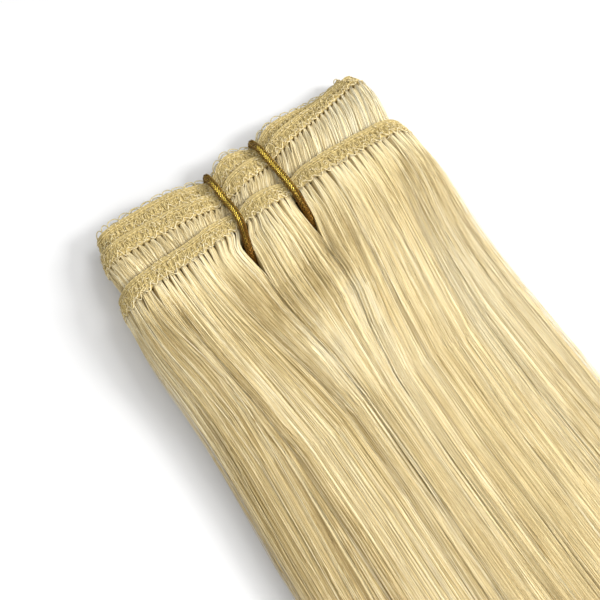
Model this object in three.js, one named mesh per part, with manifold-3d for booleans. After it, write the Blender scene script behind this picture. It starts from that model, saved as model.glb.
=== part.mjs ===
// A machine-sewn hair weft, wound flat into a bundle and held by two elastic ties.
// Millimetres. +X runs along the track, +Y from the hair towards the track's looped edge, +Z up.
// While modelling, Y = 0 lies on the front run of the track. The finished bundle is centred on its underside.

import * as THREE from 'three';
import { mergeVertices } from 'three/addons/utils/BufferGeometryUtils.js';
import Module from 'manifold-3d';

const wasm = await Module();
wasm.setup();
const { clamp, degToRad, lerp, smoothstep } = THREE.MathUtils;

// Driving sizes
const BUNDLE_DEPTH = 20;
const HAIR_LENGTH = 350;
const TRACK_HEIGHT = 6.5;
const TRACK_THICKNESS = 1.3;
const TIE_DIAMETER = 2.4;
const GAP = 0.3;

// How far the looped edge of the track leans in towards the middle of the bundle
const LEAN_FRONT = degToRad(12);
const LEAN_RIGHT_END = degToRad(35);
const LEAN_BACK = degToRad(3);
const LEAN_STARTS = 12;
const LEAN_ENDS = 46;

// Height of each turn's stitched edge along Y, at stations across the bundle
const LEVELS = [
  { across: -52, upper: 13.2, middle: 7.4, front: -9.0 },
  { across: -40, upper: 14.6, middle: 7.9, front: -7.4 },
  { across: -25, upper: 15.0, middle: 7.7, front: -6.2 },
  { across: -10, upper: 13.8, middle: 7.6, front: -3.6 },
  { across: -1, upper: 16.8, middle: 9.4, front: -3.3 },
  { across: 9, upper: 17.0, middle: 11.9, front: -2.8 },
  { across: 20, upper: 20.2, middle: 15.0, front: -2.7 },
  { across: 34, upper: 21.6, middle: 19.0, front: -2.6 },
  { across: 47, upper: 24.6, middle: 22.6, front: -3.2 },
  { across: 52, upper: 25.0, middle: 23.2, front: -3.8 },
];

// The wound strip, innermost turn first. left and right are where it folds, front, frontRight and back are
// the heights of its two runs, and dent is how far the ties press each run in
const TURNS = [
  { level: 'upper', left: -46.5, right: 20.0, front: 10.8, frontRight: 10.8, back: 4.9, dent: 2.3 },
  { level: 'upper', left: -49.3, right: 50.3, front: 12.4, frontRight: 9.0, back: 3.2, dent: 2.4 },
  { level: 'middle', left: -50.9, right: 53.6, front: 15.6, frontRight: 12.3, back: 1.6, dent: 2.6 },
  { level: 'front', left: -53.25, right: 53.25, front: 19.35, frontRight: 19.35, back: 0.7, dent: 2.8 },
];
const [UPPER, MIDDLE, FRONT] = TURNS.slice(1);
const RIGHT_END_STARTS = 8;
const STEP_DOWN_STARTS = 40;
const FREE_END = 8;

// The two ties: where they cross the looped edge, the front stitch line and the parting, across the bundle
const TIES = [
  { name: 'tie_left', top: -8.6, stitch: -10.8, dive: -12.9, partingTip: -11.5 },
  { name: 'tie_right', top: 9.7, stitch: 8.9, dive: 8.5, partingTip: 7.6 },
];
const SLANT_SHARE = 0.7;
const PINCH_SPREAD = 6.5;
const PINCH_REACH = 22;

// The tie's way down through the parting in the hair
const DIVE = [
  { y: -14.4, height: 15.2 },
  { y: -16.0, height: 10.0 },
  { y: -15.6, height: 5.5 },
  { y: -13.4, height: 2.5 },
];
const PARTING_WIDTH = 3.6;
const PARTING_TOP = 4;
const PARTING_NARROWS = -17.8;
const PARTING_TIP = -31;
const INNER_PARTING_TOP = -12;

// The bundle's section down the hair from the front stitch line. side is the width of its round sides, and
// belly the share of its depth at which they are widest
const SECTIONS = [
  { down: 0, width: 107.8, depth: 20.0, wall: 2.6, side: 10.0, belly: 0.5 },
  { down: 5, width: 108.2, depth: 20.3, wall: 3.3, side: 10.1, belly: 0.5 },
  { down: 10, width: 108.3, depth: 20.4, wall: 4.0, side: 10.3, belly: 0.49 },
  { down: 16, width: 107.8, depth: 20.4, wall: 4.6, side: 10.7, belly: 0.47 },
  { down: 23, width: 106.6, depth: 20.1, wall: 5.0, side: 11.3, belly: 0.45 },
  { down: 30, width: 105.2, depth: 19.6, wall: 5.2, side: 12.0, belly: 0.43 },
  { down: 38, width: 104.0, depth: 18.9, wall: 5.2, side: 12.7, belly: 0.41 },
  { down: 47, width: 103.3, depth: 18.1, wall: 5.2, side: 13.3, belly: 0.39 },
  { down: 58, width: 103.2, depth: 17.2, wall: 5.0, side: 13.8, belly: 0.38 },
  { down: 72, width: 103.8, depth: 16.2, wall: 4.8, side: 14.0, belly: 0.37 },
  { down: 92, width: 104.8, depth: 15.0, wall: 4.5, side: 13.8, belly: 0.37 },
  { down: 118, width: 105.6, depth: 13.8, wall: 4.2, side: 13.0, belly: 0.385 },
  { down: 150, width: 105.6, depth: 12.6, wall: 3.9, side: 11.8, belly: 0.4 },
  { down: 190, width: 104.8, depth: 11.4, wall: 3.6, side: 10.4, belly: 0.42 },
  { down: 230, width: 103.8, depth: 10.2, wall: 3.3, side: 9.0, belly: 0.445 },
  { down: 270, width: 102.6, depth: 9.0, wall: 3.0, side: 7.5, belly: 0.48 },
  { down: 305, width: 101.2, depth: 7.6, wall: 2.6, side: 6.0, belly: 0.505 },
  { down: 330, width: 99.6, depth: 6.2, wall: 2.2, side: 4.6, belly: 0.5 },
  { down: 343, width: 98.2, depth: 5.0, wall: 1.8, side: 3.5, belly: 0.5 },
  { down: 350, width: 97.0, depth: 4.2, wall: 1.5, side: 2.7, belly: 0.5 },
];
const INNER_HAIR_ENDS = 305;
const INNER_HAIR_THINS = 150;

// The inner hair's sections between the turns: above is from the turn's stitched edge along Y, proud is how
// far its front stands out from the middle of the turn's front run, and floor is the height of its underside
const NECK = [
  { turn: UPPER, above: -GAP, left: -49.0, right: 50.3, proud: 0.5, floor: 4.4 },
  { turn: MIDDLE, above: -GAP, left: -49.3, right: 51.5, proud: -1.25, floor: 4.4 },
  { turn: MIDDLE, above: -GAP, left: -51.4, right: 54.1, proud: 0.65, floor: 3.2 },
  { turn: FRONT, above: TRACK_HEIGHT + 3 * GAP, left: -50.6, right: 50.6, proud: -2.45, floor: 3.2 },
];

// Grooves between the locks: their place across at the root, 80 mm down and at the tips, how deep they are,
// how much shorter the hair is in them, and how much shorter the lock to their left is
const GROOVES = [
  { root: -41.0, mid: -33.5, tip: -38, depth: 1.6, cut: 9, short: 16 },
  { root: -33.0, mid: -26.5, tip: -29, depth: 0.9, cut: 6, short: 7 },
  { root: -25.5, mid: -14.5, tip: -20, depth: 2.2, cut: 12, short: 2 },
  { root: -12.3, mid: -8.5, tip: -11, depth: 1.8, cut: 8, short: 9 },
  { root: -2.0, mid: -4.0, tip: -3, depth: 1.0, cut: 11, short: 0 },
  { root: 8.8, mid: 1.5, tip: 6, depth: 2.0, cut: 9, short: 6 },
  { root: 17.5, mid: 7.0, tip: 15, depth: 1.8, cut: 13, short: 1 },
  { root: 26.5, mid: 18.0, tip: 25, depth: 1.2, cut: 8, short: 8 },
  { root: 37.0, mid: 29.0, tip: 34, depth: 1.2, cut: 10, short: 3 },
];
const GROOVE_MID = 80;
const GROOVE_GROWS = 26;
const LAST_LOCK_SHORT = 13;
const EDGE_CUT = 18;
const COLUMNS_PER_LOCK = 4;

// Soft swells and hollows of the hair below the ties
const SWELLS = [
  { across: -3.5, down: 11, halfWidth: 7, halfLength: 8, rise: 0.9 },
  { across: -0.5, down: 24, halfWidth: 12, halfLength: 7, rise: -1.6 },
  { across: 8.2, down: 38, halfWidth: 5, halfLength: 10, rise: 1.5 },
  { across: -8.8, down: 45, halfWidth: 8, halfLength: 12, rise: 1.2 },
  { across: -15.6, down: 30, halfWidth: 6, halfLength: 8, rise: -1.0 },
  { across: -31.0, down: 34, halfWidth: 9, halfLength: 14, rise: 0.8 },
  { across: 36.0, down: 32, halfWidth: 8, halfLength: 10, rise: -0.6 },
];
const SWELL_GROWS = 8;

// Mesh fineness
const FRONT_STEPS = 26;
const BACK_STEPS = 20;
const HAIR_BACK_STEPS = 12;
const CORE_STEPS = 18;
const FOLD_ANGLES = [12, 38, 64].map(degToRad);
const TIE_STEPS = 56;
const TIE_SIDES = 8;
const MERGE_WITHIN = 1e-4;

// Smooth value of a table's column, held at its end rows
function sample(table, by, column, at) {
  const last = table.length - 1;
  if (at <= table[0][by]) {
    return table[0][column];
  }
  if (at >= table[last][by]) {
    return table[last][column];
  }
  const i = table.findIndex((row) => row[by] > at) - 1;
  const span = table[i + 1][by] - table[i][by];
  const t = (at - table[i][by]) / span;
  const slope = (k) => {
    const before = table[Math.max(k - 1, 0)];
    const after = table[Math.min(k + 1, last)];
    return span * (after[column] - before[column]) / (after[by] - before[by]);
  };
  const start = table[i][column] * (1 + 2 * t) * (1 - t) ** 2 + slope(i) * t * (1 - t) ** 2;
  const end = table[i + 1][column] * t * t * (3 - 2 * t) + slope(i + 1) * t * t * (t - 1);
  return start + end;
}

const level = (name, x) => sample(LEVELS, 'across', name, x);

// 1 under a tie and 0 well away from both
function pinch(x) {
  return TIES.reduce((sum, tie) => sum + Math.exp(-(((x - tie.stitch) / PINCH_SPREAD) ** 2)), 0);
}

function leanFront(turn, x) {
  const curl = turn === FRONT ? 0 : smoothstep(x, LEAN_STARTS, LEAN_ENDS);
  return lerp(LEAN_FRONT, LEAN_RIGHT_END, curl);
}

// Height of a turn's front run before the ties press it in
function restingFront(turn, x) {
  return lerp(turn.front, turn.frontRight, smoothstep(x, RIGHT_END_STARTS, LEAN_ENDS));
}

const frontRun = (turn, x) => restingFront(turn, x) - turn.dent * pinch(x);

// One station of the wound strip: a place, its outward direction in the XZ plane, and the strip's lean
function station(turn, x, y, z, angle) {
  const outward = new THREE.Vector3(Math.cos(angle), 0, Math.sin(angle));
  const lean = lerp(LEAN_BACK, leanFront(turn, x), (1 + outward.z) / 2);
  return { place: new THREE.Vector3(x, y, z), outward, lean };
}

// A half circle from one run of a turn to the other, from angle to angle
function fold(turn, x, high, low, from, to) {
  const radius = (high - low) / 2;
  const steps = FOLD_ANGLES.length * 2;
  return Array.from({ length: steps - 1 }, (_, i) => {
    const angle = lerp(from, to, (i + 1) / steps);
    const place = x + radius * Math.cos(angle);
    return station(turn, place, level(turn.level, place), (high + low) / 2 + radius * Math.sin(angle), angle);
  });
}

// Where the straight runs of a turn begin and end
function runEnds(turn) {
  const left = turn.left + (frontRun(turn, turn.left) - turn.back) / 2;
  const right = turn.right - (restingFront(turn, turn.right) - turn.back) / 2;
  return { left, right };
}

function frontStations(turn) {
  const { left, right } = runEnds(turn);
  return Array.from({ length: FRONT_STEPS + 1 }, (_, i) => {
    const x = lerp(left, right, i / FRONT_STEPS);
    return station(turn, x, level(turn.level, x), frontRun(turn, x), Math.PI / 2);
  });
}

// The back run leads from one turn out to the next, stepping down to its level
function backStations(turn, next, end) {
  const start = runEnds(turn).right;
  return Array.from({ length: BACK_STEPS + 1 }, (_, i) => {
    const x = lerp(start, end, i / BACK_STEPS);
    const outwards = smoothstep(-x, -Math.min(start, STEP_DOWN_STARTS), STEP_DOWN_STARTS);
    const y = lerp(level(turn.level, x), level(next.level, x), outwards);
    const dent = lerp(turn.dent, next.dent, outwards) * pinch(x);
    return station(turn, x, y, lerp(turn.back, next.back, outwards) + dent, -Math.PI / 2);
  });
}

// The whole strip, from its free end inside to its free end on the back
function windTrack() {
  return TURNS.flatMap((turn, i) => {
    const next = TURNS[i + 1];
    const { right } = runEnds(turn);
    const rightFold = fold(turn, right, restingFront(turn, turn.right), turn.back, Math.PI / 2, -Math.PI / 2);
    const out = [...frontStations(turn), ...rightFold];
    if (!next) {
      return [...out, ...backStations(turn, turn, FREE_END)];
    }
    const left = runEnds(next).left;
    const leftFold = fold(next, left, frontRun(next, next.left), next.back, -Math.PI / 2, -3 * Math.PI / 2);
    return [...out, ...backStations(turn, next, left), ...leftFold];
  });
}

// The four corners of the strip's section at a station
function stripSection({ place, outward, lean }) {
  const up = new THREE.Vector3(0, Math.cos(lean), 0).addScaledVector(outward, -Math.sin(lean));
  const out = new THREE.Vector3(0, Math.sin(lean), 0).addScaledVector(outward, Math.cos(lean));
  const corner = (rise, side) => place.clone()
    .addScaledVector(up, rise * TRACK_HEIGHT)
    .addScaledVector(out, side * TRACK_THICKNESS / 2);
  return [corner(0, 1), corner(1, 1), corner(1, -1), corner(0, -1)];
}

// A skin over rings of equal length. A closed one joins its last ring to its first, an open one is capped
// by rungs between the two halves of its end rings
function skin(rings, closed) {
  const around = rings[0].length;
  const index = [];
  const spans = closed ? rings.length : rings.length - 1;
  for (let i = 0; i < spans; i += 1) {
    const here = i * around;
    const there = ((i + 1) % rings.length) * around;
    for (let j = 0; j < around; j += 1) {
      const k = (j + 1) % around;
      index.push(here + j, there + j, here + k);
      index.push(here + k, there + j, there + k);
    }
  }
  if (!closed) {
    const last = (rings.length - 1) * around;
    for (let j = 0; j < around / 2 - 1; j += 1) {
      const [a, b, c, d] = [j, j + 1, around - 2 - j, around - 1 - j];
      index.push(a, b, c, a, c, d);
      index.push(last + c, last + b, last + a, last + d, last + c, last + a);
    }
  }
  const geometry = new THREE.BufferGeometry();
  const positions = rings.flat().flatMap((point) => point.toArray());
  geometry.setAttribute('position', new THREE.Float32BufferAttribute(positions, 3));
  geometry.setIndex(index);
  return geometry;
}

// A ring round the bundle: over the front from left to right, round the side, and back underneath.
// front and back are lists of places across, y, top and under give a point's height there, side is how far
// the round sides reach out, and widest is the height at which they do
function ring({ left, right, front, back, y, top, under, side, widest }) {
  const end = (x, towards) => FOLD_ANGLES.map((angle) => ({
    x: x + towards * side(x) * Math.cos(angle),
    high: lerp(widest(x), top(x), Math.sin(angle)),
    low: lerp(widest(x), under(x), Math.sin(angle)),
  }));
  const leftEnd = end(left, -1);
  const rightEnd = end(right, 1).reverse();
  const point = (x, z, face) => new THREE.Vector3(x, y(x, face), z);
  return [
    ...leftEnd.map((p) => point(p.x, p.high, 1)),
    ...front.map((x) => point(x, top(x), 1)),
    ...rightEnd.map((p) => point(p.x, p.high, 1)),
    ...rightEnd.reverse().map((p) => point(p.x, p.low, -1)),
    ...back.map((x) => point(x, under(x), -1)),
    ...leftEnd.reverse().map((p) => point(p.x, p.low, -1)),
  ];
}

function spread(from, to, steps) {
  return Array.from({ length: steps + 1 }, (_, i) => lerp(from, to, i / steps));
}

const section = (down, column) => sample(SECTIONS, 'down', column, down);

// How far the hair is pressed in beside the ties, fading out below the track
function hairDent(x, down) {
  return FRONT.dent * pinch(x) * Math.exp(-((down / PINCH_REACH) ** 2));
}

// Half the width of the bundle between its round sides
const flatHalf = (down) => section(down, 'width') / 2 - section(down, 'side');

// Where a groove lies across the bundle at a distance down
function groovePlace(groove, down) {
  if (down < GROOVE_MID) {
    return lerp(groove.root, groove.mid, smoothstep(down, 0, GROOVE_MID));
  }
  return lerp(groove.mid, groove.tip, smoothstep(down, GROOVE_MID, HAIR_LENGTH));
}

// The edges of the locks across the bundle, with what the hair loses at each of them
function lockEdges(down) {
  const half = flatHalf(down);
  const rim = { depth: 0, cut: EDGE_CUT };
  return [
    { ...rim, place: -half },
    ...GROOVES.map((groove) => ({ ...groove, place: groovePlace(groove, down) })),
    { ...rim, place: half, short: LAST_LOCK_SHORT },
  ];
}

// The places of the columns over the front of the hair, a few to each lock
function lockColumns(down) {
  const places = lockEdges(down).map((edge) => edge.place);
  const columns = places.slice(0, -1).flatMap((place, i) => (
    spread(place, places[i + 1], COLUMNS_PER_LOCK).slice(0, -1)
  ));
  return [...columns, places.at(-1)];
}

// What the hair loses at a place: each lock's crown falls, and its tips get shorter, towards its grooves
function lockAt(x, down) {
  const edges = lockEdges(down);
  const i = Math.max(edges.findLastIndex((edge) => edge.place <= x), 0);
  const [edge, next] = edges.slice(Math.min(i, edges.length - 2));
  const t = clamp((x - edge.place) / (next.place - edge.place), 0, 1);
  const grown = smoothstep(down, 0, GROOVE_GROWS) * section(down, 'depth') / BUNDLE_DEPTH;
  return {
    drop: grown * (edge.depth * (1 - t) ** 3 + next.depth * t ** 3),
    short: next.short + edge.cut * (1 - t) ** 2 + next.cut * t ** 2,
  };
}

// The swells rise from nothing at the stitch line
function swell(x, down) {
  const sum = SWELLS.reduce((total, row) => {
    const far = ((x - row.across) / row.halfWidth) ** 2 + ((down - row.down) / row.halfLength) ** 2;
    return total + row.rise * Math.exp(-far);
  }, 0);
  return sum * smoothstep(down, 0, SWELL_GROWS);
}

// Y of the hair at a distance down. Underneath, the root follows a straight line between the folds
function hairY(x, face, down) {
  const edge = FRONT.right;
  const behind = lerp(level('front', -edge), level('front', edge), (x + edge) / (2 * edge));
  const stitched = level('front', x);
  const edgeHere = face > 0 ? stitched : Math.min(behind, stitched);
  const root = edgeHere - GAP - rootDrop(FRONT, x);
  return lerp(root, lockAt(x, down).short - HAIR_LENGTH, down / HAIR_LENGTH);
}

// The strip's inner lower corner hangs below its stitch line by this much
const rootDrop = (turn, x) => TRACK_THICKNESS / 2 * Math.sin(leanFront(turn, x));

// What the rings of the hair at one section have in common
function hairRing({ down, depth, belly }, backSteps) {
  const half = flatHalf(down);
  return {
    left: -half,
    right: half,
    back: spread(half, -half, backSteps),
    y: (x, face) => hairY(x, face, down),
    widest: (x) => belly * depth + hairDent(x, down),
  };
}

// The outer and inner rings of the outer hair at one section
function curtainRings(row) {
  const { down, depth, wall, side } = row;
  const common = { ...hairRing(row, HAIR_BACK_STEPS), front: lockColumns(down) };
  const outside = ring({
    ...common,
    top: (x) => depth - hairDent(x, down) - lockAt(x, down).drop + swell(x, down),
    under: (x) => hairDent(x, down),
    side: () => side,
  });
  const inside = ring({
    ...common,
    top: (x) => depth - wall - hairDent(x, down),
    under: (x) => wall + hairDent(x, down),
    side: () => side - wall,
  });
  return { outside, inside };
}

function outerHair() {
  const rows = SECTIONS.map(curtainRings);
  const outside = rows.map((row) => row.outside);
  const inside = rows.map((row) => row.inside).reverse();
  return skin([...outside, ...inside], true);
}

// A ring of the inner hair between the turns, with half-round sides
function neckRing({ turn, above, left, right, proud, floor }) {
  const top = (x) => frontRun(turn, x) + proud;
  const under = (x) => floor + turn.dent * pinch(x);
  const side = (x) => (top(x) - under(x)) / 2;
  const [low, high] = [left + side(left), right - side(right)];
  return ring({
    left: low,
    right: high,
    front: spread(low, high, CORE_STEPS),
    back: spread(high, low, CORE_STEPS),
    y: (x) => level(turn.level, x) + above - rootDrop(turn, x),
    top,
    under,
    side,
    widest: (x) => (top(x) + under(x)) / 2,
  });
}

// A ring of the inner hair inside the outer hair, clear of it all round
function coreRing(row) {
  const { down, depth, wall, side } = row;
  const inset = wall + GAP * (1 + down / INNER_HAIR_THINS);
  const common = hairRing(row, CORE_STEPS);
  return ring({
    ...common,
    front: spread(common.left, common.right, CORE_STEPS),
    top: (x) => depth - inset - hairDent(x, down),
    under: (x) => inset + GAP + hairDent(x, down),
    side: () => side - inset,
  });
}

// The inner hair from the upper turn's stitched edge, out over the middle turn's, and down inside the curtain
function innerHair() {
  const lower = SECTIONS.filter((row) => row.down <= INNER_HAIR_ENDS);
  return skin([...NECK.map(neckRing), ...lower.map(coreRing)], false);
}

// A tie's closed route: taut over the turns, down through the parting, and back underneath
function tieRoute(tie) {
  const off = TIE_DIAMETER / 2 + GAP;
  const rest = (TIE_DIAMETER + GAP) / 2;
  const edgeDrop = TRACK_HEIGHT * Math.sin(LEAN_FRONT);
  const rise = TRACK_HEIGHT * Math.cos(LEAN_FRONT);
  const over = (turn, x) => frontRun(turn, x) + TRACK_THICKNESS / 2 + off;
  const top = level('upper', tie.top) + rise;
  const corner = over(UPPER, tie.top) - edgeDrop;
  const middle = level('middle', tie.stitch);
  const front = level('front', tie.stitch);
  const slant = lerp(tie.top, tie.stitch, SLANT_SHARE);
  const low = lerp(tie.stitch, tie.dive, SLANT_SHARE);
  return [
    [tie.top, top, corner + 2 * GAP],
    [tie.top, middle + rise, over(MIDDLE, tie.top) - edgeDrop + GAP],
    [slant, middle, over(MIDDLE, tie.stitch) + 1.5 * GAP],
    [slant, front + rise, over(FRONT, tie.stitch) - edgeDrop + GAP],
    [tie.stitch, front, over(FRONT, tie.stitch) + GAP],
    [low, front - rise, over(FRONT, tie.stitch)],
    ...DIVE.map((row) => [tie.dive, row.y, row.height]),
    [low, front - 2 * TIE_DIAMETER, rest],
    [tie.stitch, front + 2 * TIE_DIAMETER, rest],
    [tie.stitch, middle, rest],
    [tie.top, top - TIE_DIAMETER, off + GAP],
    [tie.top, top + off, 2 * off],
    [tie.top, top + off + GAP, BUNDLE_DEPTH / 3],
    [tie.top, top + off + GAP, corner - 1.5 * off],
    [tie.top, top + off, corner],
  ].map((point) => new THREE.Vector3(...point));
}

function tieLoop(tie) {
  const route = new THREE.CatmullRomCurve3(tieRoute(tie), true, 'centripetal');
  return new THREE.TubeGeometry(route, TIE_STEPS, TIE_DIAMETER / 2, TIE_SIDES, true);
}

// A V-shaped parting through the hair, open towards the track unless it begins lower down
function parting(tie, begins) {
  const half = PARTING_WIDTH / 2;
  const start = begins < 0 ? lerp(tie.stitch, tie.dive, SLANT_SHARE) : tie.stitch;
  const outline = new THREE.Shape([
    new THREE.Vector2(start - half, begins),
    new THREE.Vector2(tie.dive - half, PARTING_NARROWS),
    new THREE.Vector2(tie.partingTip, PARTING_TIP),
    new THREE.Vector2(tie.dive + half, PARTING_NARROWS),
    new THREE.Vector2(start + half, begins),
  ]);
  const wedge = new THREE.ExtrudeGeometry(outline, { depth: 2 * BUNDLE_DEPTH, bevelEnabled: false });
  return wedge.translate(0, 0, -BUNDLE_DEPTH / 2);
}

function toSolid(geometry) {
  const bare = geometry.clone();
  bare.deleteAttribute('normal');
  bare.deleteAttribute('uv');
  const merged = mergeVertices(bare, MERGE_WITHIN);
  const mesh = new wasm.Mesh({
    numProp: 3,
    vertProperties: merged.attributes.position.array,
    triVerts: new Uint32Array(merged.index.array),
  });
  return new wasm.Manifold(mesh);
}

function fromSolid(solid) {
  const { vertProperties, triVerts } = solid.getMesh();
  const geometry = new THREE.BufferGeometry();
  geometry.setAttribute('position', new THREE.Float32BufferAttribute(vertProperties, 3));
  geometry.setIndex([...triVerts]);
  return geometry;
}

function partHair(geometry, begins) {
  const partings = TIES.map((tie) => toSolid(parting(tie, begins)));
  return fromSolid(partings.reduce((solid, wedge) => solid.subtract(wedge), toSolid(geometry)));
}

const HAIR = new THREE.MeshStandardMaterial({ color: '#e3ce94', roughness: 0.5, metalness: 0 });
const SEWN_THREAD = new THREE.MeshStandardMaterial({ color: '#dcc68e', roughness: 0.75, metalness: 0 });
const GOLD_ELASTIC = new THREE.MeshStandardMaterial({ color: '#8a6a14', roughness: 0.35, metalness: 0.7 });

const weft = new THREE.Group();

function addPiece(name, geometry, material) {
  const piece = new THREE.Mesh(geometry, material);
  piece.name = name;
  weft.add(piece);
}

addPiece('track', skin(windTrack().map(stripSection), false), SEWN_THREAD);
addPiece('inner_hair', partHair(innerHair(), INNER_PARTING_TOP), HAIR);
addPiece('outer_hair', partHair(outerHair(), PARTING_TOP), HAIR);
TIES.forEach((tie) => addPiece(tie.name, tieLoop(tie), GOLD_ELASTIC));

const box = new THREE.Box3().setFromObject(weft);
weft.position.y = -(box.min.y + box.max.y) / 2;

export default weft;
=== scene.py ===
"""Looks of the hair weft: fine hair in wisps, a sewn track with its threads and loops, and braided ties."""

from collections import namedtuple

import bpy
import numpy as np
from bpy.props import FloatProperty, FloatVectorProperty, IntProperty, PointerProperty
from mathutils import Matrix, Vector


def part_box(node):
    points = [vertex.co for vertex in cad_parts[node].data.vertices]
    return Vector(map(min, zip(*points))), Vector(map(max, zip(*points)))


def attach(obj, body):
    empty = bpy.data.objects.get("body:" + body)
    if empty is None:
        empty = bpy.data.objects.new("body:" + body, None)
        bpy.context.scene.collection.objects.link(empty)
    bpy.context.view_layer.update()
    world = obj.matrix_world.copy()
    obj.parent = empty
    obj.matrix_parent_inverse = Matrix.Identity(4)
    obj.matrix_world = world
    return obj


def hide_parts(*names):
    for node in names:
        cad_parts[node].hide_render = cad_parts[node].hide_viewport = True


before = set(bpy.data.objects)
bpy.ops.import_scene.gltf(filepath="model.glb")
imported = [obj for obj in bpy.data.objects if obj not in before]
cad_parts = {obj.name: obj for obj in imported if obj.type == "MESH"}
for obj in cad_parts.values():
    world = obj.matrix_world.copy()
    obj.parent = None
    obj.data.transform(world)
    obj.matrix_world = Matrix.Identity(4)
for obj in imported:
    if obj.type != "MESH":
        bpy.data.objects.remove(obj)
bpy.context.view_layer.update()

bl_info = {
    "name": "Hair Weft",
    "version": (1, 0, 0),
    "blender": (4, 5, 0),
    "location": "View3D > Sidebar > Weft",
    "description": "Dresses the wound hair weft with hair, threads and braided ties",
    "category": "Object",
}

MM = 0.001
ROOT_BODY = "root"

# Driving sizes of the wound bundle, in millimetres, as in the part's own source
BUNDLE_DEPTH = 20
HAIR_LENGTH = 350
TRACK_HEIGHT = 6.5
TRACK_THICKNESS = 1.3
TIE_DIAMETER = 2.4
GAP = 0.3
LEAN_FRONT, LEAN_RIGHT_END, LEAN_BACK = np.radians((12, 35, 3))
LEAN_STARTS, LEAN_ENDS = 12, 46
RIGHT_END_STARTS = 8
STEP_DOWN_STARTS = 40
FREE_END = 8
PINCH_SPREAD = 6.5
PINCH_REACH = 22
GROOVE_MID = 80
GROOVE_GROWS = 26
SWELL_GROWS = 8
LAST_LOCK_SHORT = 13
EDGE_CUT = 18
SLANT_SHARE = 0.7
INNER_HAIR_ENDS = 305
INNER_HAIR_THINS = 150

# The partings, a little narrower than in the part's source: half widths, and where down the hair they change
PARTING_HALF = 1.45
PARTING_SHUT_HALF = 0.12
PARTING_NARROWS = 6
PARTING_CLOSES = 22
PARTING_MEETS_GROOVE = 2.6 * PARTING_CLOSES

# How the strip is dressed: its lowest height, and how far and how wide the ties press its looped edge down
PRESSED_FLAT = 0.2
PRESSED_SHARE = 0.26
PRESSED_SPREAD = 3.0

# The hair's body: how far it lies below the strands, more so at the tips, and the steps across it
BODY_SUNK = 0.22
TIPS_SUNK = 1.0
TIPS_START, TIPS_END = 250, 326
BODY_STEP = 0.34
SIDE_STEPS = 26
BODY_TONE = 0.4

# The slits between tufts at a stitch line: chance in their places and lengths, depths, and how much painted
# shade darkens them
TUFT_SEED = 11
TUFT_SHIFT = 0.2
SLIT_LENGTHS = (3.0, 8.5)
SLIT_DEPTH_FRONT, SLIT_DEPTH_SIDE, SLIT_DEPTH_NECK = 1.5, 1.1, 1.6
SLIT_PAINTED_SHADE_FRONT, SLIT_PAINTED_SHADE_SIDE, SLIT_PAINTED_SHADE_NECK = 0.9, 0.85, 0.9
SLIT_NARROWS = 0.2

# Strands: their form, and how they are spread and gathered in a tuft
STRAND_SIDES = 3
STRAND_FLATNESS = 0.4
STRAND_FLOOR = 0.12
TIP_THICKNESS = 0.45
TAPER_STARTS = 150
WISP_SPREAD = 1.25
STRAND_SPREAD = 0.2
TUFT_CLEARANCE = 0.6
STRAND_CLEARANCE = 0.05
ROOT_GATHER = 0.52
GATHER_ENDS = 11
TUFT_CROWN = 0.3
CROWN_REACH = 10

# How strands wander: wisps together, each by itself, and off the hair where they are loose
WISP_DRIFT, DRIFT_LENGTH = 0.2, 120
STRAY_LEAST, STRAY_MORE, STRAY_LENGTH = 0.3, 1.6, 85
LOOSE_LIFT, LOOSE_LENGTH = 0.45, 45

# How light strands are: more even to the lit right, lighter at the roots by painted light, with a few dark
# strands among them, and the rims of tufts darkened by painted shade
STRAND_TONE = 0.52
CONTRAST_LEFT, CONTRAST_RIGHT = 1.4, 0.6
CONTRAST_SPAN = 45
ROOT_PAINTED_LIGHT, ROOT_PAINTED_LIGHT_REACH = 0.12, 9
LOWLIGHT_SHARE = 0.05
LOWLIGHT_DROP = 0.5
LOWLIGHT_SHADE = 0.25
TUFT_RIM_PAINTED_SHADE = (0.34, 0.62)

# The inner hair: steps round its rings, its neck that shows between the turns, and its rows further down
RING_STEPS = 220
FOLD_ANGLES = np.radians(np.linspace(6, 84, 18))
NECK_ROWS = 16
NECK_FULLNESS = 2.2
NECK_SEED = 201
NECK_WISPS = 4
NECK_WISP_STRANDS = 7
HIDDEN_ROWS = (0, 6, 12, 18, 24, 30, 36, 58, 92, 150, 230, INNER_HAIR_ENDS)

# The track's threads: steps along it, sides, and the directions that their first sides face
TRACK_STEP = 0.4
THREAD_STEP = 1.0
THREAD_SIDES = 5
THREAD_WAVE = 4.1
THREAD_AWAY = np.array((0.3, 0.9, 0.35))
LOOP_AWAY = np.array((0.1, -0.3, 0.95))
SHORT_AWAY = np.array((1.0, 0.05, 0.1))

# Loops of the looped edge: they end at this turn, dip into the track, and flatten between two places across
LOOP_STEP = 0.22
LOOPS_END = 1.62
LOOP_DIP = 0.5
LOOP_UNEVEN_WIDTH, LOOP_UNEVEN_HEIGHT = 0.18, 0.35
LOOPS_FLATTEN, LOOPS_FLATTENED = (38, 48), 0.65

# Short threads: upright stitches in pairs, from a lower to an upper height, and stray fibres
UPRIGHT_FOOT, UPRIGHT_HEAD = 1.3, 4.3
UPRIGHT_PAIR = 0.24
FIBRES = 1250
FIBRE_SIDES = 3

# The ties' braid, and the side of its yarns where a highlight is painted
TIE_STEPS = 360
TIE_EVENING = 160
YARN_SIDES = 4
YARNS_EACH_WAY = 8
BRAID_PITCH = 8.5
BRAID_WAVE = 0.07
CORE_TONE = 0.2
PAINTED_HIGHLIGHT_SIDE = np.array((-0.3, 0.05, 0.95))

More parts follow.
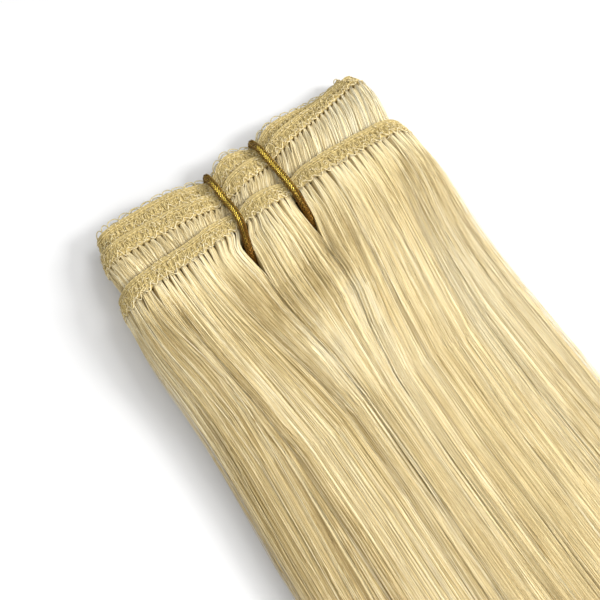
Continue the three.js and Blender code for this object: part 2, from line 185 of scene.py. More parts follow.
# The stage: lights by place and size in millimetres and power in watts, and the camera of the photo
Light = namedtuple("Light", "name place size power")
LIGHTS = (
    Light("key", (642, -317, 653), 260, 8.4),
    Light("side", (500, 100, 877), 333, 3.7),
    Light("front", (-230, -628, 653), 1167, 5.0),
    Light("over", (0, 100, 1010), 1167, 3.1),
)
LIGHT_AIM = Vector((0, 100, 10)) * MM
SKY_STRENGTH = 0.36
FLOOR_REACH = 3.0
CAMERA_PLACE = Vector((-58.0, 47.8, 241.3)) * MM
CAMERA_RIGHT = Vector((0.8387, -0.5446, 0.0))
CAMERA_UP = Vector((0.5050, 0.7776, 0.3746))
CAMERA_LENS = 50
CAMERA_SENSOR = 36
CAMERA_NEAR = 10 * MM

# Soft random waves: their height, their lengths across and along in millimetres, and their seed
Ripple = namedtuple("Ripple", "height across along seed")
SWAY_BROAD = Ripple(0.8, 11, 110, 23)
SWAY_FINE = Ripple(0.15, 3.5, 100, 24)
LOCKS_BROAD = Ripple(0.2, 4.4, 60, 21)
LOCKS_FINE = Ripple(0.06, 1.5, 40, 22)
STRAND_TONES = Ripple(0.1, 4, 70, 25)
BODY_TONES = Ripple(0.12, 1.3, 60, 31)
INNER_TONES = Ripple(0.14, 1.2, 1, 43)
KNIT_RAGGED = Ripple(0.1, 0.7, 0.8, 52)


def columns(names, *rows):
    """A short table as one array for each named column."""
    return dict(zip(names.split(), np.array(rows, float).T))


# Height of each turn's stitched edge along Y, at stations across the bundle
LEVELS = columns(
    "across upper middle front",
    (-52, 13.2, 7.4, -9.0),
    (-40, 14.6, 7.9, -7.4),
    (-25, 15.0, 7.7, -6.2),
    (-10, 13.8, 7.6, -3.6),
    (-1, 16.8, 9.4, -3.3),
    (9, 17.0, 11.9, -2.8),
    (20, 20.2, 15.0, -2.7),
    (34, 21.6, 19.0, -2.6),
    (47, 24.6, 22.6, -3.2),
    (52, 25.0, 23.2, -3.8),
)

# The wound strip, innermost turn first: where it folds, the heights of its runs, how far the ties press it in
Turn = namedtuple("Turn", "level left right front front_right back dent")
TURNS = (
    Turn("upper", -46.5, 20.0, 10.8, 10.8, 4.9, 2.3),
    Turn("upper", -49.3, 50.3, 12.4, 9.0, 3.2, 2.4),
    Turn("middle", -50.9, 53.6, 15.6, 12.3, 1.6, 2.6),
    Turn("front", -53.25, 53.25, 19.35, 19.35, 0.7, 2.8),
)
UPPER, MIDDLE, FRONT = TURNS[1:]

# The ties: where they cross the looped edge, the front stitch line and the parting, and the parting's tip
Tie = namedtuple("Tie", "name top stitch dive parting_tip")
TIES = (
    Tie("tie_left", -8.6, -10.8, -12.9, -12.6),
    Tie("tie_right", 9.7, 8.9, 8.5, 7.6),
)

# A tie's way down through the parting in the hair: Y and height
DIVE = ((-14.4, 15.2), (-16.0, 10.0), (-15.6, 5.5), (-13.4, 2.5))

# The bundle's section down the hair from the front stitch line: side is the width of its round sides, and
# belly the share of its depth at which they are widest
SECTIONS = columns(
    "down width depth wall side belly",
    (0, 107.8, 20.0, 2.6, 10.0, 0.5),
    (5, 108.2, 20.3, 3.3, 10.1, 0.5),
    (10, 108.3, 20.4, 4.0, 10.3, 0.49),
    (16, 107.8, 20.4, 4.6, 10.7, 0.47),
    (23, 106.6, 20.1, 5.0, 11.3, 0.45),
    (30, 105.2, 19.6, 5.2, 12.0, 0.43),
    (38, 104.0, 18.9, 5.2, 12.7, 0.41),
    (47, 103.3, 18.1, 5.2, 13.3, 0.39),
    (58, 103.2, 17.2, 5.0, 13.8, 0.38),
    (72, 103.8, 16.2, 4.8, 14.0, 0.37),
    (92, 104.8, 15.0, 4.5, 13.8, 0.37),
    (118, 105.6, 13.8, 4.2, 13.0, 0.385),
    (150, 105.6, 12.6, 3.9, 11.8, 0.4),
    (190, 104.8, 11.4, 3.6, 10.4, 0.42),
    (230, 103.8, 10.2, 3.3, 9.0, 0.445),
    (270, 102.6, 9.0, 3.0, 7.5, 0.48),
    (305, 101.2, 7.6, 2.6, 6.0, 0.505),
    (330, 99.6, 6.2, 2.2, 4.6, 0.5),
    (343, 98.2, 5.0, 1.8, 3.5, 0.5),
    (350, 97.0, 4.2, 1.5, 2.7, 0.5),
)

# The inner hair's sections between the turns: above is from the turn's stitched edge along Y, proud is how
# far its front stands out from the middle of the turn's front run, floor is the height of its underside
Neck = namedtuple("Neck", "turn above left right proud floor")
NECK = (
    Neck(UPPER, -GAP, -49.0, 50.3, 0.5, 4.4),
    Neck(MIDDLE, -GAP, -49.3, 51.5, -1.25, 4.4),
    Neck(MIDDLE, -GAP, -51.4, 54.1, 0.65, 3.2),
    Neck(FRONT, TRACK_HEIGHT + 3 * GAP, -50.6, 50.6, -2.45, 3.2),
)

# Grooves between the locks: place across at the root, 80 mm down and at the tips, depth, how much shorter
# the hair is in them, how much shorter the lock to their left is, and the tie that opens them if one does
Groove = namedtuple("Groove", "root mid tip depth cut short tie")
GROOVES = (
    Groove(-41.0, -33.5, -38, 1.6, 9, 16, None),
    Groove(-33.0, -26.5, -29, 0.9, 6, 7, None),
    Groove(-25.5, -14.5, -20, 2.2, 12, 2, None),
    Groove(-12.3, -8.5, -11, 1.8, 8, 9, TIES[0]),
    Groove(-2.0, -4.0, -3, 1.0, 11, 0, None),
    Groove(8.8, 1.5, 6, 2.0, 9, 6, TIES[1]),
    Groove(17.5, 7.0, 15, 1.8, 13, 1, None),
    Groove(26.5, 18.0, 25, 1.2, 8, 8, None),
    Groove(37.0, 29.0, 34, 1.2, 10, 3, None),
)

# Soft swells and hollows of the hair below the ties: across, down, half width, half length, rise
SWELLS = (
    (-3.5, 11, 7, 8, 0.9),
    (-0.5, 24, 12, 7, -1.6),
    (8.2, 38, 5, 10, 1.5),
    (-8.8, 45, 8, 12, 1.2),
    (-15.6, 30, 6, 8, -1.0),
    (-31.0, 34, 9, 14, 0.8),
    (36.0, 32, 8, 10, -0.6),
)

# Soft lighter and darker zones of the hair, painted light and shade: across, down, half width, half length,
# change of tone
PAINTED_LIGHT_AND_SHADE = (
    (-48.0, 90, 13, 60, -0.28),
    (-36.0, 108, 9, 45, -0.14),
    (-55.0, 30, 5, 22, 0.3),
    (-41.0, 11, 7, 11, -0.28),
    (-24.0, 22, 5, 13, -0.28),
    (-31.5, 35, 4, 10, -0.12),
    (-15.0, 27, 4.5, 11, -0.38),
    (-1.5, 29, 7, 9, -0.34),
    (12.0, 24, 5, 12, -0.2),
    (34.0, 14, 14, 12, -0.14),
    (7.0, 41, 5, 10, 0.36),
    (13.5, 54, 3.5, 16, -0.18),
    (-9.0, 48, 6, 11, 0.38),
    (-24.5, 38, 2.8, 10, -0.32),
    (-20.0, 52, 2.6, 12, -0.32),
    (-17.0, 67, 2.6, 13, -0.26),
    (-30.0, 56, 4.0, 14, 0.2),
    (36.0, 58, 12, 24, 0.3),
    (43.0, 82, 11, 26, 0.2),
    (1.0, 76, 8, 26, 0.22),
    (-16.0, 110, 8, 22, -0.2),
    (12.0, 118, 8, 26, -0.34),
)

# Steps down a strand and down the hair's body, closer where the hair bends
STRAND_ROWS = np.array((-0.6, 1, 2.6, 4.6, 7, 10, 13.5, 18, 24, 31, 40, 52, 70, 98, 140, 200, 275, 350))
BODY_ROWS = np.concatenate((np.arange(-0.4, 16, 0.8), np.arange(16, 60, 2), np.arange(60, 326, 14)))

# Rows of the knit up the strip: where the ladder starts and ends, and the middle and half height of the rest
LADDER_STARTS, LADDER_ENDS = (1.0, 1.6), (3.6, 4.3)
HOLES, SEAM, CORD = (4.75, 0.34), (5.45, 0.22), (5.9, 0.5)

# How high each feature of the knit stands off the strip's face, and how dark it is: the cord and its twist by
# their own colour, the cells, holes and seam by painted shade
Knit = namedtuple("Knit", "cord twist bars cell hole seam")
KNIT_HEIGHT = Knit(0.24, 0.09, 0.16, -0.26, -0.4, -0.2)
KNIT_DARK = Knit(0.3, -0.144, 0, 0.4, 0.8, 0.35)

# Straight threads of the track: height above the stitched edge, distance off the face, wander and seed
STRAIGHT_THREADS = (
    (6.15, 0.12, 0.16, 70),
    (5.15, 0.08, 0.16, 71),
    (4.2, 0.1, 0.16, 73),
    (1.45, 0.08, 0.2, 75),
)

# Zigzag threads: their lowest and highest points, stitches in a zigzag pitch, unevenness and seed
Zigzag = namedtuple("Zigzag", "low high stitches uneven seed")
ZIGZAGS = (Zigzag(-0.8, 1.3, 2, 0.2, 81),)
CROSSINGS = (Zigzag(-0.2, 1.9, 2.2, 0.34, 82), Zigzag(1.2, 3.8, 2.6, 0.3, 83))


def linear(code):
    """An sRGB hex colour as linear red, green and blue."""
    part = np.array([int(code[i:i + 2], 16) for i in (1, 3, 5)]) / 255
    return tuple(np.where(part <= 0.04045, part / 12.92, ((part + 0.055) / 1.055) ** 2.4))


def length_property(label, words, millimetres):
    """A length that a user may change, with its default in millimetres."""
    default = millimetres * MM
    return FloatProperty(name=label, description=words, default=default, min=0, unit="LENGTH", precision=5)


def colour_property(label, words, code):
    """A colour that a user may change, with its default as an sRGB hex value."""
    default = linear(code)
    return FloatVectorProperty(name=label, description=words, default=default, min=0, max=1, subtype="COLOR")


class WeftSizes(bpy.types.PropertyGroup):
    """Sizes of the fine parts that dress the weft."""

    strand: length_property("Strand", "Thickness of a drawn strand, coarser than real hair", 0.18)
    tuft: length_property("Tuft pitch", "Distance between the tufts of hair at a stitch line", 2.0)
    thread: length_property("Thread", "Thickness of the sewing thread", 0.3)
    zigzag: length_property("Zigzag pitch", "Length of one zigzag stitch along the track", 3.2)
    bar: length_property("Bar pitch", "Distance between the upright stitches of the track", 1.7)
    loop_width: length_property("Loop width", "Width of one loop on the looped edge", 3.8)
    loop_height: length_property("Loop height", "How far the loops stand above the track", 2.1)
    yarn: length_property("Yarn", "Thickness of one yarn of the braided ties", 0.34)
    wisps: IntProperty(name="Wisps", description="Wisps of hair in each tuft", default=4, min=1)
    strands: IntProperty(name="Strands", description="Strands in each wisp", default=14, min=1)


class WeftColours(bpy.types.PropertyGroup):
    """Colours of the weft and its stage."""

    hair_light: colour_property("Hair, light", "Lightest strands", "#f5ebca")
    hair_mid: colour_property("Hair, middle", "Most of the strands", "#e7d4a0")
    hair_dark: colour_property("Hair, dark", "Darkest strands", "#b39b64")
    # Mixed in by painted shade in the slits, the partings and at the rims of tufts, and as the colour of a
    # few dark strands
    hair_shade_and_lowlight: colour_property("Hair, gaps", "Deep between tufts and in the partings", "#6e5629")
    track: colour_property("Track", "Hair and binding between the threads of the track", "#c1ab6b")
    # Mixed in by painted shade in the needle holes, cells and seam, and as the cord's own darker colour
    track_shade_and_cord: colour_property("Track, gaps", "Needle holes and cells of the track", "#66552c")
    thread: colour_property("Thread", "Straight, crossing and upright threads", "#e2cf95")
    thread_pale: colour_property("Thread, pale", "Zigzag threads and stray fibres", "#f2e5c2")
    loop: colour_property("Thread, loops", "Loops on the looped edge", "#c6bd98")
    # Its full value shows mostly where a highlight is painted on the yarns
    gold: colour_property("Gold yarn", "Metallic yarn of the ties", "#ffe26a")
    gold_dark: colour_property("Dark yarn", "Dark core and dark yarn of the ties", "#6c4806")
    paper: colour_property("Paper", "White paper that the weft lies on", "#dcdcdc")


# Shared arithmetic


def mix(start, end, share):
    return start + (end - start) * share


def smoothstep(at, start, end):
    share = np.clip((at - start) / (end - start), 0, 1)
    return share * share * (3 - 2 * share)


def unit(vectors):
    return vectors / np.linalg.norm(vectors, axis=-1, keepdims=True)


def lookup(table, by, column, at):
    """Smooth value of a table's column, held at its end rows."""
    places, values = table[by], table[column]
    order = np.arange(len(places))
    before = np.maximum(order - 1, 0)
    after = np.minimum(order + 1, len(places) - 1)
    slopes = (values[after] - values[before]) / (places[after] - places[before])
    at = np.clip(at, places[0], places[-1])
    row = np.clip(np.searchsorted(places, at, side="right") - 1, 0, len(places) - 2)
    span = places[row + 1] - places[row]
    t = (at - places[row]) / span
    start = values[row] * (1 + 2 * t) * (1 - t) ** 2 + span * slopes[row] * t * (1 - t) ** 2
    end = values[row + 1] * t * t * (3 - 2 * t) + span * slopes[row + 1] * t * t * (t - 1)
    return start + end


def soft_noise(u, v, seed):
    """Smooth random values from -1 to 1 over a plane, with one new value at each whole step."""
    size = 256
    grid = np.random.default_rng(seed).uniform(-1, 1, (size, size))
    low_u, low_v = np.floor(u).astype(int), np.floor(v).astype(int)
    share_u, share_v = smoothstep(u - low_u, 0, 1), smoothstep(v - low_v, 0, 1)

    def corner(step_u, step_v):
        return grid[(low_u + step_u) % size, (low_v + step_v) % size]

    near = mix(corner(0, 0), corner(1, 0), share_u)
    far = mix(corner(0, 1), corner(1, 1), share_u)
    return mix(near, far, share_v)


def distance_along(points):
    """How far along a line each of its points is."""
    steps = np.linalg.norm(np.diff(points, axis=0), axis=1)
    return np.concatenate(([0], np.cumsum(steps)))


def ripple(kind, across, along):
    """Soft random waves of a kind at places across and along."""
    return kind.height * soft_noise(across / kind.across, along / kind.along, kind.seed)


# The wound bundle's form


def level(name, x):
    return lookup(LEVELS, "across", name, x)


def section(down, column):
    return lookup(SECTIONS, "down", column, down)


def pinch(x):
    """1 under a tie and 0 well away from both."""
    return sum(np.exp(-(((x - tie.stitch) / PINCH_SPREAD) ** 2)) for tie in TIES)


def lean_front(turn, x):
    curl = 0 * x if turn is FRONT else smoothstep(x, LEAN_STARTS, LEAN_ENDS)
    return mix(LEAN_FRONT, LEAN_RIGHT_END, curl)


def resting_front(turn, x):
    return mix(turn.front, turn.front_right, smoothstep(x, RIGHT_END_STARTS, LEAN_ENDS))


def front_run(turn, x):
    return resting_front(turn, x) - turn.dent * pinch(x)


def root_drop(turn, x):
    return TRACK_THICKNESS / 2 * np.sin(lean_front(turn, x))


def run_ends(turn):
    left = turn.left + (front_run(turn, turn.left) - turn.back) / 2
    right = turn.right - (resting_front(turn, turn.right) - turn.back) / 2
    return left, right


def stations(turn, x, y, z, angle):
    """Stations of the strip as rows of x, y, z, outward angle and lean."""
    lean = mix(LEAN_BACK, lean_front(turn, x), (1 + np.sin(angle)) / 2)
    return np.stack(np.broadcast_arrays(x, y, z, angle, lean), -1)


def fold_stations(turn, x, high, low, start, end):
    angle = np.linspace(start, end, 42)[1:-1]
    radius = (high - low) / 2
    place = x + radius * np.cos(angle)
    return stations(turn, place, level(turn.level, place), (high + low) / 2 + radius * np.sin(angle), angle)


def back_stations(turn, following, end, angle):
    start = run_ends(turn)[1]
    x = np.linspace(start, end, 120)
    outwards = smoothstep(-x, -min(start, STEP_DOWN_STARTS), STEP_DOWN_STARTS)
    y = mix(level(turn.level, x), level(following.level, x), outwards)
    dent = mix(turn.dent, following.dent, outwards) * pinch(x)
    return stations(turn, x, y, mix(turn.back, following.back, outwards) + dent, angle)


def wind_track(step):
    """The whole strip at even steps, with its distance along and the turn that each station is on."""
    rows, turns = [], []
    for i, turn in enumerate(TURNS):
        following = TURNS[min(i + 1, len(TURNS) - 1)]
        quarter = np.pi / 2 - 2 * np.pi * i
        behind, ahead = quarter - np.pi, quarter - 2 * np.pi
        left, right = run_ends(turn)
        x = np.linspace(left, right, 160)
        part = [stations(turn, x, level(turn.level, x), front_run(turn, x), quarter)]
        high = resting_front(turn, turn.right)
        part.append(fold_stations(turn, right, high, turn.back, quarter, behind))
        if following is turn:
            part.append(back_stations(turn, turn, FREE_END, behind))
        else:
            end = run_ends(following)[0]
            high = front_run(following, following.left)
            part.append(back_stations(turn, following, end, behind))
            part.append(fold_stations(following, end, high, following.back, behind, ahead))
        rows.extend(part)
        turns.extend([np.full(len(block), i) for block in part])
    rows, turns = np.concatenate(rows), np.concatenate(turns)
    far = distance_along(rows[:, :3])
    along = np.arange(0, far[-1], step)
    even = np.stack([np.interp(along, far, column) for column in rows.T], -1)
    return {"along": along, "rows": even, "turn": np.interp(along, far, turns)}


def on_strip(track, along, rise, out):
    """Points on the strip, by how far they are along it, above its stitched edge and off its middle."""
    along, rise, out = np.broadcast_arrays(along, rise, out)
    x, y, z, angle, lean = (np.interp(along, track["along"], column) for column in track["rows"].T)
    pressed = sum(np.exp(-(((x - tie.top) / PRESSED_SPREAD) ** 2)) for tie in TIES)
    rise = rise * (1 - PRESSED_SHARE * pressed)
    over = rise * np.cos(lean) + out * np.sin(lean)
    outward = out * np.cos(lean) - rise * np.sin(lean)
    height = np.maximum(z + outward * np.sin(angle), PRESSED_FLAT)
    return np.stack((x + outward * np.cos(angle), y + over, height), -1)


def groove_place(groove, down):
    upper = mix(groove.root, groove.mid, smoothstep(down, 0, GROOVE_MID))
    lower = mix(groove.mid, groove.tip, smoothstep(down, GROOVE_MID, HAIR_LENGTH))
    return np.where(down < GROOVE_MID, upper, lower)


def parting_root(tie):
    """Where a tie crosses the root of the outer hair."""
    return mix(tie.top, tie.stitch, SLANT_SHARE)


def parting_line(groove, down):
    """The middle of a parting: under its tie at first, then down the groove that it runs into."""
    tie = groove.tie
    line = mix(parting_root(tie), tie.dive, smoothstep(down, 0, PARTING_NARROWS))
    line = mix(line, tie.parting_tip, smoothstep(down, PARTING_NARROWS, PARTING_CLOSES))
    return mix(line, groove_place(groove, down), smoothstep(down, PARTING_CLOSES, PARTING_MEETS_GROOVE))


def parting_half(down):
    return mix(PARTING_HALF, PARTING_SHUT_HALF, smoothstep(down, PARTING_NARROWS, PARTING_CLOSES))


def flat_half(down):
    """Half the width of the flat part of the bundle, between its round sides."""
    return section(down, "width") / 2 - section(down, "side")


def list_edges():
    """Depth, cut and shortness at each edge of a lock, and which spaces between edges are partings."""
    facts = [(0, EDGE_CUT, 0)]
    partings = []
    for groove in GROOVES:
        if groove.tie:
            partings.append(len(facts))
            facts.append((groove.depth, groove.cut, groove.short))
        facts.append((groove.depth, groove.cut, groove.short))
    facts.append((0, EDGE_CUT, LAST_LOCK_SHORT))
    return np.array(facts, float), partings


EDGE_FACTS, PARTINGS = list_edges()


def lock_edges(down):
    """Places across of the edges of the locks, along a new last axis."""
    half = flat_half(down)
    places = [-half]
    for groove in GROOVES:
        if groove.tie:
            middle, open_half = parting_line(groove, down), parting_half(down)
            places.extend((middle - open_half, middle + open_half))
        else:
            places.append(groove_place(groove, down))
    places.append(half)
    return np.stack(np.broadcast_arrays(*places), -1)


def space_edges(edges, space):
    """The left and the right edge of spaces given by number."""
    left = np.take_along_axis(edges, space[..., None], -1)[..., 0]
    right = np.take_along_axis(edges, space[..., None] + 1, -1)[..., 0]
    return left, right


def lock_at(x, down):
    """The space between edges at x, the share across it, the fall of its crown and its shortness."""
    edges = lock_edges(down)
    space = np.clip((edges <= x[..., None]).sum(-1) - 1, 0, len(EDGE_FACTS) - 2)
    left, right = space_edges(edges, space)
    share = np.clip((x - left) / (right - left), 0, 1)
    grown = smoothstep(down, 0, GROOVE_GROWS) * section(down, "depth") / BUNDLE_DEPTH
    near, far = EDGE_FACTS[space], EDGE_FACTS[space + 1]
    drop = grown * (near[..., 0] * (1 - share) ** 3 + far[..., 0] * share ** 3)
    short = far[..., 2] + near[..., 1] * (1 - share) ** 2 + far[..., 1] * share ** 2
    return space, share, drop, short


def hair_dent(x, down):
    return FRONT.dent * pinch(x) * np.exp(-((np.maximum(down, 0) / PINCH_REACH) ** 2))


def soft_spots(table, x, down):
    """The sum of a table's soft round spots, each with its place, half width, half length and strength."""
    total = 0
    for across, low, half_width, half_length, strength in table:
        off = ((x - across) / half_width) ** 2 + ((down - low) / half_length) ** 2
        total = total + strength * np.exp(-off)
    return total


def swell(x, down):
    return soft_spots(SWELLS, x, down) * smoothstep(down, 0, SWELL_GROWS)


def hair_top(x, down):
    return section(down, "depth") - hair_dent(x, down) - lock_at(x, down)[2] + swell(x, down)


def hair_y(x, on_front, down):
    """Y of the hair at a distance down. Underneath, the root follows a straight line between the folds."""
    edge = FRONT.right
    stitched = level("front", x)
    behind = mix(level("front", -edge), level("front", edge), (x + edge) / (2 * edge))
    root = np.where(on_front, stitched, np.minimum(behind, stitched)) - GAP - root_drop(FRONT, x)
    return mix(root, lock_at(x, down)[3] - HAIR_LENGTH, down / HAIR_LENGTH)


def side_heights(sign, down):
    """The height at which a round side of the bundle is widest, and how far it goes above and below."""
    x = sign * flat_half(down)
    low = hair_dent(x, down)
    widest = low + section(down, "belly") * section(down, "depth")
    return widest, hair_top(x, down) - widest, widest - low


def round_bundle(arc, down, lift):
    """Points of the outer hair from a distance round the bundle, measured from the middle of its front."""
    arc, down, lift = np.broadcast_arrays(arc, down, lift)
    sign = np.where(arc < 0, -1.0, 1.0)
    half, side = flat_half(down), section(down, "side")
    widest, above, below = side_heights(sign, down)
    past = np.abs(arc) - half
    turned = np.clip(past / side, 0, np.pi)
    back = np.maximum(past - np.pi * side, 0)
    x = np.where(past <= 0, arc, sign * (half + (side + lift) * np.sin(turned) - back))
    z_front = hair_top(x, down) + lift
    z_side = widest + (np.where(turned < np.pi / 2, above, below) + lift) * np.cos(turned)
    z_under = hair_dent(x, down) - lift
    z = np.where(past <= 0, z_front, np.where(back > 0, z_under, z_side))
    y = hair_y(x, turned < np.pi / 2, down)
    return np.stack((x, y, z), -1)


def sway(line, down):
    """How far lines of hair wander from their lock's own line, together with their neighbours."""
    broad = ripple(SWAY_BROAD, line, down)
    fine = ripple(SWAY_FINE, line, down)
    calm = sum(np.exp(-(((line - tie.stitch) / 4.5) ** 2)) for tie in TIES)
    calm = np.minimum(calm, 1) * (1 - smoothstep(down, 24, 60))
    return (broad + fine) * smoothstep(down, 8, 80) * (1 - calm)


def flow(root_arc, down):
    """How far round the bundle a line of hair lies at each step down, from where it lies at the root."""
    root = np.broadcast_to(root_arc, down.shape)
    zero = np.zeros_like(root)
    sign = np.where(root < 0, -1.0, 1.0)
    half, first_half = flat_half(down), flat_half(zero)
    side, first_side = section(down, "side"), section(zero, "side")
    space, share = lock_at(root, zero)[:2]
    left, right = space_edges(lock_edges(down), space)
    past = np.abs(root) - first_half
    round_side = sign * (half + past / first_side * side)
    beyond = past - np.pi * first_side
    under = sign * (half + np.pi * side + beyond / first_half * half)
    line = np.where(past <= 0, mix(left, right, share), np.where(beyond <= 0, round_side, under))
    return line + sway(root, down)


def clear_of_partings(arc, beyond):
    """Arcs at the root moved out of the partings, to a distance beyond their nearer edge."""
    for tie in TIES:
        middle = parting_root(tie)
        off = arc - middle
        reach = PARTING_HALF + beyond
        arc = np.where(np.abs(off) < reach, middle + np.where(off < 0, -reach, reach), arc)
    return arc


def frame_shift():
    """How far the frame lies from the modelling origin along Y, from the top of the track."""
    track = wind_track(0.5)
    top = on_strip(track, track["along"], TRACK_HEIGHT, -TRACK_THICKNESS / 2)[:, 1].max()
    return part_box("track")[1].y / MM - top


FRAME_SHIFT = np.array((0, frame_shift(), 0))


# Meshes


def fill_mesh(mesh, points, faces):
    """Points in millimetres, none below the floor, and arrays of faces with three or four corners."""
    mesh.vertices.add(len(points))
    points = np.maximum(points + FRAME_SHIFT, (-np.inf, -np.inf, 0))
    mesh.vertices.foreach_set("co", (points * MM).astype(np.float32).ravel())
    corners = np.concatenate([block.ravel() for block in faces])
    counts = np.concatenate([np.full(len(block), block.shape[1]) for block in faces])
    mesh.loops.add(len(corners))
    mesh.loops.foreach_set("vertex_index", corners.astype(np.int32))
    mesh.polygons.add(len(counts))
    mesh.polygons.foreach_set("loop_start", (np.cumsum(counts) - counts).astype(np.int32))


def make_piece(name, points, faces, material, values, replaced=(), places=None):
    """A piece of the object. values holds numbers at the points for the materials, and places the map of the
    corners, face by face."""
    mesh = bpy.data.meshes.new(name)
    fill_mesh(mesh, points, faces)
    if places is not None:
        layer = mesh.uv_layers.new(name="OFBake", do_init=False)
        layer.uv.foreach_set("vector", places.astype(np.float32).ravel())
    for key, numbers in values.items():
        layer = mesh.attributes.new(key, "FLOAT", "POINT")
        layer.data.foreach_set("value", numbers.astype(np.float32).ravel())
    mesh.update(calc_edges=True)
    mesh.shade_smooth()
    mesh.materials.append(material)
    piece = bpy.data.objects.new(name, mesh)
    bpy.context.scene.collection.objects.link(piece)
    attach(piece, ROOT_BODY)
    if replaced:
        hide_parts(*replaced)


def tube_rings(paths, radius, away, sides, closed, flat):
    """Rings of points round many paths, with one point of each ring towards away."""
    if closed:
        run = np.roll(paths, -1, 1) - np.roll(paths, 1, 1)
    else:
        run = np.gradient(paths, axis=1)
    run = unit(run)
    away = np.broadcast_to(away, paths.shape)
    up = unit(away - run * (away * run).sum(-1, keepdims=True))
    side = np.cross(up, run)
    angle = 2 * np.pi * np.arange(sides) / sides + np.pi / 2
    ring = np.cos(angle)[:, None] * side[:, :, None] + flat * np.sin(angle)[:, None] * up[:, :, None]
    thick = np.broadcast_to(radius, paths.shape[:2])
    return paths[:, :, None] + ring * thick[:, :, None, None]


def tubes(paths, radius, away, sides, closed=False, flat=1.0):
    """Closed tubes along many paths of equal length: points, faces and a map with one cell for each tube.
    flat is their height over their width."""
    points = tube_rings(paths, radius, away, sides, closed, flat)
    index = np.arange(points[..., 0].size).reshape(points.shape[:3])
    around = np.roll(index, -1, 2)
    if closed:
        here, there = (index, around), (np.roll(index, -1, 1), np.roll(around, -1, 1))
    else:
        here, there = (index[:, :-1], around[:, :-1]), (index[:, 1:], around[:, 1:])
    walls = np.stack((here[0], here[1], there[1], there[0]), -1)
    faces = [walls.reshape(-1, 4)]
    cells = map_cells(*walls.shape[:3])
    if not closed:
        corner = np.arange(1, sides - 1)
        fan = np.stack((0 * corner, corner, corner + 1), -1)
        faces.append(index[:, 0][:, fan[:, ::-1]].reshape(-1, 3))
        faces.append(index[:, -1][:, fan].reshape(-1, 3))
        cap_corners = faces[1].size + faces[2].size
        cells = np.concatenate((cells, np.tile(cells[:1], (cap_corners, 1))))
    return points.reshape(-1, 3), faces, cells


def map_cells(count, steps, sides):
    """A map with a narrow upright cell for each tube, unrolled, and a gap beside and above it."""
    slender, wide, tall = 8, 0.9, 0.98
    across = int(np.ceil(np.sqrt(count * slender)))
    upwards = int(np.ceil(count / across))
    tube, step, side = np.meshgrid(np.arange(count), np.arange(steps), np.arange(sides), indexing="ij")
    offset = np.array(((0, 0), (1, 0), (1, 1), (0, 1)))
    u = (tube % across)[..., None] + (side[..., None] + offset[:, 0]) / sides * wide
    v = (tube // across)[..., None] + (step[..., None] + offset[:, 1]) / steps * tall
    return np.stack((u / across, v / upwards), -1).reshape(-1, 2)


def ring_faces(rows, around):
    """Faces over rings of equal length. The end rings are closed by rungs between their two halves."""
    index = np.arange(rows * around).reshape(rows, around)
    following = np.roll(index, -1, 1)
    walls = np.stack((index[:-1], index[1:], following[1:], following[:-1]), -1).reshape(-1, 4)
    j = np.arange(around // 2 - 1)
    rungs = np.stack((j, j + 1, around - 2 - j, around - 1 - j), -1)
    return [walls, rungs, rungs[:, ::-1] + (rows - 1) * around]


# Materials


def set_up(tree, node, settings):
    """Each setting is a value of the node's own, a value of a socket, or the output that feeds a socket."""
    for key, value in settings.items():
        if isinstance(value, bpy.types.NodeSocket):
            tree.links.new(value, node.inputs[key])
        elif isinstance(key, str) and hasattr(node, key):
            setattr(node, key, value)
        else:
            node.inputs[key].default_value = value


def add_node(tree, kind, settings):
    """A new node with its settings."""
    node = tree.nodes.new(kind)
    set_up(tree, node, settings)
    return node


def new_material(name):
    """An empty node material, with its tree and its shader."""
    material = bpy.data.materials.new(name)
    material.use_nodes = True
    tree = material.node_tree
    return material, tree, tree.nodes["Principled BSDF"]


def opaque(colour):
    return (*colour, 1.0)


def point_value(tree, name):
    """A number that the piece carries at its points."""
    return add_node(tree, "ShaderNodeAttribute", {"attribute_name": name}).outputs["Fac"]


def place_on_piece(tree):
    """The place across and down the piece, in millimetres."""
    place = {"X": point_value(tree, "across"), "Y": point_value(tree, "down")}
    return add_node(tree, "ShaderNodeCombineXYZ", place).outputs[0]


def streaks(tree, width, length, detail):
    """Noise drawn out to a width across the piece and a length down it, in millimetres."""
    stretch = {"operation": "MULTIPLY", 0: place_on_piece(tree), 1: (1 / width, 1 / length, 1)}
    place = add_node(tree, "ShaderNodeVectorMath", stretch).outputs[0]
    return add_node(tree, "ShaderNodeTexNoise", {"Scale": 1.0, "Vector": place, **detail}).outputs["Fac"]


def blend(tree, share, first, second):
    """The first colour turning into the second by a share."""
    settings = {"data_type": "RGBA", 0: share, 6: first, 7: second}
    return add_node(tree, "ShaderNodeMix", settings).outputs[2]


def bump(tree, height, strength, depth):
    """Bumps from a height, with their depth in millimetres."""
    settings = {"Strength": strength, "Distance": depth * MM, "Height": height}
    return add_node(tree, "ShaderNodeBump", settings).outputs[0]


